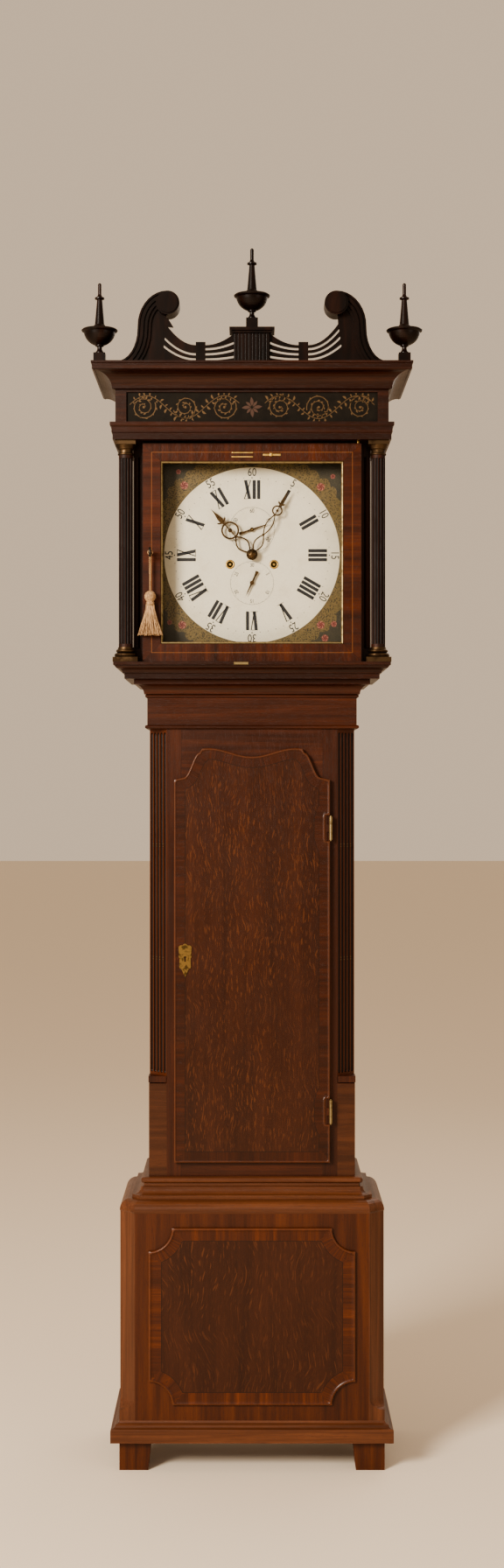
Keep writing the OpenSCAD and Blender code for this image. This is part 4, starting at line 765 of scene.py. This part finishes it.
paint(bellMetal, "bell")
paint(iron, "going_weight", "strike_weight")
paint(glass, "hood_door_glass")
paint(gut, "going_line", "strike_line", "tassel")
print("frame painted")


hoodDoorLook = {"line": 17 * mm, "lineWidth": 0.75 * mm, "lineColour": (0.170, 0.062, 0.018)}


# crossbanded rails: the grain runs from the outer edge to the glass, and turns at the mitres
def hoodDoorFinish():
    look = hoodDoorLook
    f = Finish("hoodDoorVeneer")
    x, y, z = f.split(f.place)
    u = abs(x)
    v = abs(z - dialZ)
    halfWide = hoodDoorHigh[0]
    halfTall = (hoodDoorHigh[2] - hoodDoorLow[2]) / 2
    top = f.math("GREATER_THAN", v - halfTall, u - halfWide)
    along = z * top + x * (1 - top)
    across = x * top + z * (1 - top)
    colour, pore, fibre = grain(f, f.join(across, y, along), "banding", 0.8)
    edge = f.math("MINIMUM", halfWide - u, halfTall - v)
    line = 1 - f.step(abs(edge - look["line"]), look["lineWidth"] * 0.5, look["lineWidth"] * 0.9)
    joint = 1 - f.step(abs((v - halfTall) - (u - halfWide)), 0.0001, 0.0006)
    rim = 1 - f.step(edge, 0.0004, 0.0020)
    front = f.math("LESS_THAN", y, hoodDoorLow[1] + 0.5 * mm)
    colour = f.mix(joint * 0.75, colour, (0.012, 0.004, 0.002))
    colour = f.mix(line * front, colour, look["lineColour"])
    colour = f.mix(rim * 0.6, colour, (0.020, 0.006, 0.003))
    return polish(f, colour, pore, fibre, 0.28, 0.14)


paint(hoodDoorFinish(), "hood_door_frame")


# closed outline filled so that its points stand no more than about a step apart
def evenOutline(outline, step):
    points = np.asarray(outline, dtype=float)
    ahead = np.roll(points, -1, axis=0)
    filled = []
    for a, b in zip(points, ahead):
        count = max(1, int(round(np.linalg.norm(b - a) / step)))
        filled += [a + (b - a) * i / count for i in range(count)]
    return np.array(filled)


# distance from each point to a closed outline, and the unit vector across its nearest edge
def edgeField(points, outline):
    a = outline
    b = np.roll(outline, -1, axis=0)
    d = b - a
    t = ((points[:, None, :] - a[None]) * d[None]).sum(-1) / (d * d).sum(-1)[None]
    foot = a[None] + np.clip(t, 0, 1)[..., None] * d[None]
    gap = np.linalg.norm(points[:, None, :] - foot, axis=-1)
    near = gap.argmin(1)
    away = d[near] / np.linalg.norm(d[near], axis=1)[:, None]
    return gap.min(1), np.stack([-away[:, 1], away[:, 0]], -1)


veneerStep = 5 * mm
# distances from the edge, in mm, at which a veneer gets a row of points of its own
edgeRows = (0.8, 2.0, 3.2, 4.2, 5.0, 6.2, 10, 15, 20, 25, 31)


# thin sheet over a flat front: its height above the front is a profile, in mm, of the distance from the edge
def veneerPiece(name, outline, face, profile, material, body):
    step = veneerStep
    outline = evenOutline(outline, step)
    low, high = outline.min(0), outline.max(0)
    gx, gz = np.meshgrid(*[np.arange(low[i] + step, high[i], step * 1.5) for i in range(2)])
    inside = np.stack([gx.ravel(), gz.ravel()], -1)
    normal = np.roll(outline, -1, axis=0) - np.roll(outline, 1, axis=0)
    normal = np.stack([-normal[:, 1], normal[:, 0]], -1) / np.linalg.norm(normal, axis=1)[:, None]
    extra = []
    for row in edgeRows:
        moved = outline + normal * (row * mm)
        extra.append(moved[edgeField(moved, outline)[0] > row * mm * 0.93])
    extra.append(inside[edgeField(inside, outline)[0] > edgeRows[-1] * mm + step * 0.5])
    points = np.concatenate([outline] + extra)
    count = len(outline)
    edges = [(i, (i + 1) % count) for i in range(count)]
    made = mathutils.geometry.delaunay_2d_cdt(
        [mathutils.Vector(p) for p in points], edges, [list(range(count))], 1, 1e-7)
    flat = np.array([tuple(p) for p in made[0]])
    gap, across = edgeField(flat, outline)
    height = np.interp(gap, *(np.array(profile) * mm).T)
    solid = np.stack([flat[:, 0], face - height, flat[:, 1]], -1)
    fields = {"edge": gap, "acrossX": across[:, 0], "acrossZ": across[:, 1]}
    meshPiece(name, solid, made[2], material, body, fields=fields)


# oak with ray flecks inside a crossbanded border; rays: the flecks' two scales, their sway's scale and reach
def panelFinish(name, band, rays, edging):
    f = Finish(name)
    x, y, z = f.split(f.place)
    edge, ax, az = [f.node("ShaderNodeAttribute", {"attribute_name": field}, {}, 2)
                    for field in ("edge", "acrossX", "acrossZ")]
    oak, pore, fibre = grain(f, f.place, "oak", 0.6)
    wide, tall, swayScale, swayReach = rays
    swayed = f.join(x + f.noise(f.place, swayScale, 1.5) * swayReach, y, z)
    ray = f.noise(f.scaled(swayed, (wide, wide, tall)), 1.0, 1.0)
    fine = f.noise(f.scaled(swayed, (wide * 2.1, wide * 2.1, tall * 1.7)), 1.0, 1.0)
    patch = f.step(f.noise(f.scaled(f.place, (7, 7, 5)), 1.0, 2.0), 0.34, 0.62)
    fleck = f.step(ray, 0.600, 0.660) * (patch * 0.36 + 0.22) + f.step(fine, 0.57, 0.68) * 0.14
    oak = f.mix(fleck, oak, (0.112, 0.036, 0.0120))
    strip, bandPore, bandFibre = grain(f, f.join(x * az - z * ax, y, x * ax + z * az), edging, 0.9)
    isBand = f.step(edge, band + 0.0004, band - 0.0004)
    colour = f.mix(isBand, oak, strip)
    joint = 1 - f.step(abs(edge - band), 0.0002, 0.0009)
    colour = f.mix(joint * 0.8, colour, (0.010, 0.004, 0.002))
    # paler near the raised edge: partly wear, partly a painted highlight along the edge
    worn = f.step(edge, 0.0045, 0.0015)
    colour = f.mix(worn * 0.35, colour, (0.16, 0.055, 0.022))
    height = (fibre * 0.35 - pore) * (1 - isBand) + (bandFibre * 0.35 - bandPore) * isBand
    rough = 0.30 + 0.16 * f.noise(f.place, 14.0, 4.0)
    f.set(Base_Color=colour, Roughness=rough, Normal=f.bump(height, 0.00012, 0.5))
    return f.set(Coat_Weight=0.10, Coat_Roughness=0.18, Specular_IOR_Level=0.22)


doorLook = {
    "rise": 60 * mm, "band": 21 * mm, "hinges": (97 * mm, 635 * mm), "notch": (24.5 * mm, 9 * mm),
    "half": 148 * mm, "face": -56 * mm, "rays": (520, 62, 13.0, 0.035),
    "moulding": [(0, 0.1), (0.8, 1.3), (2.0, 1.9), (3.2, 1.4), (4.2, 0.5), (5.0, 0.45), (1000, 0.45)],
}


# the door's outline: straight sides, an ear, an S curve, a step, and a shallow wave to the middle
def doorOutline():
    look = doorLook
    half, rise = look["half"], look["rise"]
    side = doorHigh[2] - rise
    foot = doorLow[2]
    t = np.linspace(0, 1, 17)
    wing = np.stack([half - 18 * mm - 30 * mm * t,
                     side + 4 * mm + (rise - 13 * mm) * (1 - np.cos(math.pi * t)) / 2], -1)
    x = (half - 53 * mm) * (1 - np.linspace(0, 1, 17))
    crest = np.stack([x, side + rise - 16 * mm + 8 * mm * (1 - np.cos(math.pi * x / (half - 66 * mm)))], -1)
    right = np.concatenate([[(half, side)], wing, [(half - 51 * mm, side + rise - 4 * mm)], crest])
    left = right[::-1][1:] * np.array([-1, 1])
    edge = [(half, foot)]
    reach, deep = look["notch"]
    for level in look["hinges"]:
        z = foot + level
        edge += [(half, z - reach), (half - deep, z - reach), (half - deep, z + reach), (half, z + reach)]
    return np.concatenate([np.array(edge), right, left, [(-half, foot)]])


panelLook = {
    "scoop": 44 * mm, "band": 24 * mm, "rays": (300, 34, 7.0, 0.12),
    "moulding": [(0, 0.1), (1.0, 1.6), (2.6, 2.4), (4.2, 1.7), (5.4, 0.5), (6.2, 0.45), (1000, 0.45)],
}


def panelOutline():
    r = panelLook["scoop"]
    half = panelHigh[0]
    low, high = panelLow[2], panelHigh[2]
    turn = np.linspace(0, math.pi / 2, 13)
    c, s = r * np.cos(turn), r * np.sin(turn)
    scoops = [(half - s, low + c), (half - c, high - s), (-half + s, high - c), (-half + c, low + s)]
    return np.concatenate([np.stack(scoop, -1)[::-1] for scoop in scoops])


def veneer(name, finish, look, outline, face, edging, body):
    material = panelFinish(finish, look["band"], look["rays"], edging)
    veneerPiece(name, outline, face, look["moulding"], material, body)


veneer("trunkDoorVeneer", "doorOak", doorLook, doorOutline(), doorLook["face"], "doorEdge", "trunk_leaf")
veneer("basePanelVeneer", "panelOak", panelLook, panelOutline(), panelLow[1], "panelEdge", "case")
print("panels veneered")


# box between two corners
def blockPoints(low, high):
    around = [(low[0], low[1]), (high[0], low[1]), (high[0], high[1]), (low[0], high[1])]
    return [(x, y, z) for z in (low[2], high[2]) for x, y in around]


blockFaces = np.array([(0, 3, 2, 1), (4, 5, 6, 7), (0, 1, 5, 4), (1, 2, 6, 5), (2, 3, 7, 6), (3, 0, 4, 7)])


def blocksPiece(name, boxes, material, body, bevel=0.0):
    points = np.concatenate([blockPoints(low, high) for low, high in boxes])
    faces = np.concatenate([blockFaces + 8 * i for i in range(len(boxes))])
    piece = meshPiece(name, points, faces, material, body, False)
    if bevel:
        edge = piece.modifiers.new("edges", "BEVEL")
        edge.width = bevel
        edge.segments = 2


slipLook = {"width": 4.2 * mm, "half": 172 * mm, "inset": 1.2 * mm, "depth": 3.5 * mm}


# square ring: a rounded slip lies round the glass, inside the door's rebate
def glassSlip():
    w, half = slipLook["width"], slipLook["half"]
    front = hoodDoorLow[1] + slipLook["inset"]
    back = front + slipLook["depth"]
    section = [(0.0, back), (0.0, front + 0.8 * mm), (w * 0.25, front), (w * 0.7, front + 0.4 * mm),
               (w, front + 2.2 * mm), (w, back)]
    points = [[((half - inset) * side, y, dialZ + (half - inset) * end) for inset, y in section]
              for side, end in ((1, -1), (1, 1), (-1, 1), (-1, -1))]
    faces = gridFaces(4, len(section), True, True)
    meshPiece("glassSlip", points, faces, slipBrass, "hood_leaf", False)


# blocks in mm, from the middle of a front's top edge: low corner, then high corner
catchBars = [((-38, -1.2, -19), (2, 0, -16.5)), ((-38, -1.2, -27), (2, 0, -24.5)),
             ((21, -1.4, -24), (54, 0, -20)), ((34, -4.0, -25), (38, -1.2, -19))]
hoodPlate = [((-34, -0.5, -5.5), (-7, 0, -1.0))]


def hoodFittings():
    for name, blocks, node, material, body, bevel in (
            ("doorCatchBars", catchBars, "hood_door_frame", brass, "hood_leaf", 0.4 * mm),
            ("hoodPlate", hoodPlate, "hood_base_moulding", slipBrass, "hood", 0.0)):
        low, high = corners(node)
        boxes = [[(x * mm, low[1] + y * mm, high[2] + z * mm) for x, y, z in block] for block in blocks]
        blocksPiece(name, boxes, material, body, bevel)


pinLook = {"levels": (953 * mm, 1169 * mm), "gap": 4.5 * mm, "half": 1.1 * mm, "tall": 0.55 * mm,
           "sunk": 0.3 * mm, "proud": 0.35 * mm}


# pairs of small brass pins across the ridges between the flutes, on both front corners
def fluteTicks():
    look = pinLook
    across = corners("trunk_corners")[1][0] - 1 * mm
    corner = cornerLook["width"]
    pitch = corner * math.sqrt(2) / 5.2
    along = np.array([1, 1]) / math.sqrt(2) * look["half"]
    out = np.array([1, -1]) / math.sqrt(2)
    sunk, proud = -out * look["sunk"], out * look["proud"]
    boxes, faces = [], []
    levels = [level + dz for level in look["levels"] for dz in (0, look["gap"])]
    for side, z, i in itertools.product((-1, 1), levels, range(4)):
        s = (i - 1.5) * pitch / math.sqrt(2)
        centre = np.array([across - corner / 2 + s, trunkFace + corner / 2 + s])
        flat = [centre - along + sunk, centre + along + sunk, centre + along + proud, centre - along + proud]
        faces.append(blockFaces + 8 * len(boxes))
        boxes.append([(side * p[0], p[1], h) for h in (z - look["tall"], z + look["tall"]) for p in flat])
    meshPiece("flutePins", np.concatenate(boxes), np.concatenate(faces), slipBrass, "case", False)


glassSlip()
hoodFittings()
fluteTicks()


# tube along a path: radius may vary, and a twist of ply lobes runs along it (lobes = 0 for a round tube)
def tube(path, radius, sides=10, lobes=0, pitch=4 * mm, depth=0.18):
    path = np.asarray(path, dtype=float)
    ahead = np.gradient(path, axis=0)
    ahead /= np.linalg.norm(ahead, axis=1)[:, None]
    ref = np.array([0.0, 1.0, 0.0])
    side = np.cross(ahead, ref)
    side /= np.linalg.norm(side, axis=1)[:, None] + 1e-9
    other = np.cross(side, ahead)
    run = np.concatenate([[0], np.cumsum(np.linalg.norm(np.diff(path, axis=0), axis=1))])
    turn = np.linspace(0, 2 * math.pi, sides, endpoint=False)
    r = np.broadcast_to(np.asarray(radius, dtype=float), (len(path),))[:, None]
    if lobes:
        twist = lobes / 2 * (turn[None] - 2 * math.pi * run[:, None] / pitch / lobes * 2)
        r = r * (1 - depth + depth * np.abs(np.cos(twist)))
    c, s = np.cos(turn)[None, :, None], np.sin(turn)[None, :, None]
    return path[:, None] + r[..., None] * (c * side[:, None] + s * other[:, None]), run


def joinTubes(tubes):
    points, faces, start = [], [], 0
    for grid in tubes:
        rows, columns = grid.shape[:2]
        points.append(grid.reshape(-1, 3))
        faces.append(gridFaces(rows, columns, False, True) + start)
        start += rows * columns
    return np.concatenate(points), np.concatenate(faces)


def gutLines():
    for name in ("going", "strike"):
        low, high = corners(name + "_line")
        r = 1.2 * mm
        x = (low[0] + high[0]) / 2
        reach = (high[0] - low[0]) / 2 - r
        y = (low[1] + high[1]) / 2
        sheave = low[2] + r + reach
        ends = (high[2], corners("seatboard")[0][2])
        turn = np.linspace(0, math.pi, 40)
        bend = np.stack([x - reach * np.cos(turn), np.full(40, y), sheave - reach * np.sin(turn)], -1)
        foot = sheave + 1 * mm
        down = np.linspace((x - reach, y, ends[0]), (x - reach, y, foot), 60)
        up = np.linspace((x + reach, y, foot), (x + reach, y, ends[1]), 60)
        path = np.concatenate([down, bend, up])
        grid, run = tube(path, r, 8)
        uv = np.stack(np.broadcast_arrays(np.arange(8)[None] / 8, run[:, None] / (6 * mm)), -1)
        piece = meshPiece(name + "GutLine", grid, gridFaces(len(path), 8, False, True), gut, None, uv=uv)
        sheave + 2 * mm
        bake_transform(piece)
        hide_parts(name + "_line")


gutLines()

tasselLook = {
    "light": (0.44, 0.27, 0.135), "dark": (0.155, 0.080, 0.033), "strands": 110, "cordRadius": 1.5 * mm,
    "loop": 4.2 * mm, "skirtDrop": 25 * mm,
    "head": [(1.0, 1), (4.5, 0), (8.5, -3), (10.6, -8), (10.2, -13), (7.4, -18), (6.4, -20), (7.4, -21),
             (7.6, -24), (6.6, -26)],
}


def silkFinish():
    look = tasselLook
    f = Finish("strawSilk")
    tone = f.noise(f.scaled(f.place, (900, 900, 90)), 1.0, 3.0)
    f.set(Base_Color=f.mix(f.step(tone, 0.36, 0.62), look["dark"], look["light"]), Roughness=0.62 + 0.1 * tone,
          Normal=f.bump(tone, 0.0003, 0.6))
    return f.set(Sheen_Weight=0.25, Sheen_Roughness=0.4)


# plaited cord from the key, a bound head, a neck band and a skirt of separate threads
def tassel():
    look = tasselLook
    low, high = corners("tassel")
    x, y = (low[0] + high[0]) / 2, (low[1] + high[1]) / 2
    foot = low[2]
    top = high[2] - 4.5 * mm
    head = foot + 84 * mm
    tubes = []
    a = np.linspace(0, 2 * math.pi, 33)
    loop = np.stack([x + look["loop"] * np.sin(a), y + 0 * a, top + look["loop"] * np.cos(a) - 0.4 * mm], -1)
    tubes.append(tube(loop, look["cordRadius"] * 0.85, 8, 2)[0])
    for phase in (0, math.pi):
        t = np.linspace(0, 1, 90)
        z = top - 4.5 * mm + (head - top + 4.5 * mm) * t
        apart = np.interp(t, [0, 0.5, 0.56, 1], [1.9, 1.6, 0.9, 0.9]) * mm
        a = phase + 2 * math.pi * t * 9
        tubes.append(tube(np.stack([x + apart * np.cos(a), y + apart * np.sin(a), z], -1), 1.0 * mm, 7)[0])
    points, faces = joinTubes(tubes)
    silk = silkFinish()
    cord = meshPiece("tasselCord", points, faces, silk, "tassel_drop")
    at = np.linspace(0, 1, 46), np.linspace(0, 1, len(look["head"]))
    r, rise = [np.interp(*at, column) * mm for column in zip(*look["head"])]
    z = head + rise
    turn = np.linspace(0, 2 * math.pi, 96, endpoint=False)
    ribs = 1 + 0.035 * np.cos(32 * turn[None] + 40 * (z[:, None] - head) / (18 * mm))
    grid = np.stack([x + r[:, None] * ribs * np.cos(turn), y + 0.82 * r[:, None] * ribs * np.sin(turn),
                     z[:, None] + 0 * turn], -1)
    meshPiece("tasselHead", grid, gridFaces(46, 96, False, True), silk, "tassel_drop")
    rng = np.random.default_rng(11)
    threads = []
    for i in range(look["strands"]):
        a = 2 * math.pi * (i + rng.uniform(-0.3, 0.3)) / look["strands"] * 3
        reach = (0.35, 0.7, 1.0)[i % 3]
        t = np.linspace(0, 1, 12)
        spread = 6.2 + (17.0 * reach) * t ** 1.25 + rng.normal(0, 0.5)
        flat = 0.36 - 0.02 * t
        wave = 0.9 * np.sin(t * rng.uniform(4, 9) + rng.uniform(0, 6)) * t
        start = head - look["skirtDrop"]
        zz = start - t * (start - foot - rng.uniform(0.2, 3.5) * mm)
        px = np.clip(x + (spread * np.cos(a) + wave) * mm, low[0] + 1 * mm, high[0] - 1 * mm)
        threads.append(tube(np.stack([px, y + (spread * flat * np.sin(a)) * mm, zz], -1),
                            np.interp(t, [0, 1], [1.05, 0.85]) * mm, 6, 2, 5 * mm, 0.25)[0])
    points, faces = joinTubes(threads)
    meshPiece("tasselSkirt", points, faces, silk, "tassel_drop")
    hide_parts("tassel")


tassel()
print("brass, lines and tassel made")


roomLook = {
    "floor": (0.80, 0.69, 0.56), "floorHalf": 30.0, "world": 0.62, "worldColour": (1.0, 0.78, 0.57, 1.0),
    "lens": 46.5, "camera": (0.0, -3.9, 1.288),
    # place, aimed at, size, power and colour
    "lights": {"key": ((-2.6, -3.6, 2.7), (0, 0, 0.9), (1.3, 1.5), 330.0, (1.0, 0.93, 0.82)),
               "fill": ((3.2, -3.2, 1.6), (0, 0, 1.1), (2.0, 2.6), 22.0, (1.0, 0.94, 0.86)),
               "rim": ((1.6, 2.4, 3.0), (0, 0, 1.6), (2.0, 2.0), 16.0, (1.0, 0.94, 0.86))},
}


def softLight(name, spot, aim, size, power, colour):
    data = bpy.data.lights.new(name, "AREA")
    data.shape = "RECTANGLE"
    data.size, data.size_y = size
    data.energy = power
    data.color = colour
    lamp = putObject(name, data)
    back = np.subtract(spot, aim)
    back /= np.linalg.norm(back)
    lamp.location = spot
    lamp.rotation_euler = (math.acos(back[2]), 0.0, math.atan2(back[0], -back[1]))


def room():
    look = roomLook
    f = Finish("paleFloor")
    f.set(Base_Color=look["floor"], Roughness=0.75)
    reach = look["floorHalf"]
    mesh = bpy.data.meshes.new("floor")
    square = [(x * reach, y * reach, 0) for x, y in ((-1, -1), (1, -1), (1, 1), (-1, 1))]
    mesh.from_pydata(square, [], [(0, 1, 2, 3)])
    mesh.materials.append(f.material)
    putObject("floor", mesh)
    world = bpy.data.worlds.new("studio")
    world.use_nodes = True
    sky = world.node_tree.nodes["Background"].inputs
    sky[0].default_value = look["worldColour"]
    sky[1].default_value = look["world"]
    bpy.context.scene.world = world
    for name, settings in look["lights"].items():
        softLight(name, *settings)
    data = bpy.data.cameras.new("camera")
    data.lens = look["lens"]
    data.sensor_width = 36.0
    camera = putObject("camera", data)
    camera.location = look["camera"]
    camera.rotation_euler = (math.radians(90), 0.0, 0.0)
    bpy.context.scene.camera = camera
    bpy.context.scene.view_settings.view_transform = "AgX"
    bpy.context.scene.view_settings.look = "AgX - Medium High Contrast"


room()
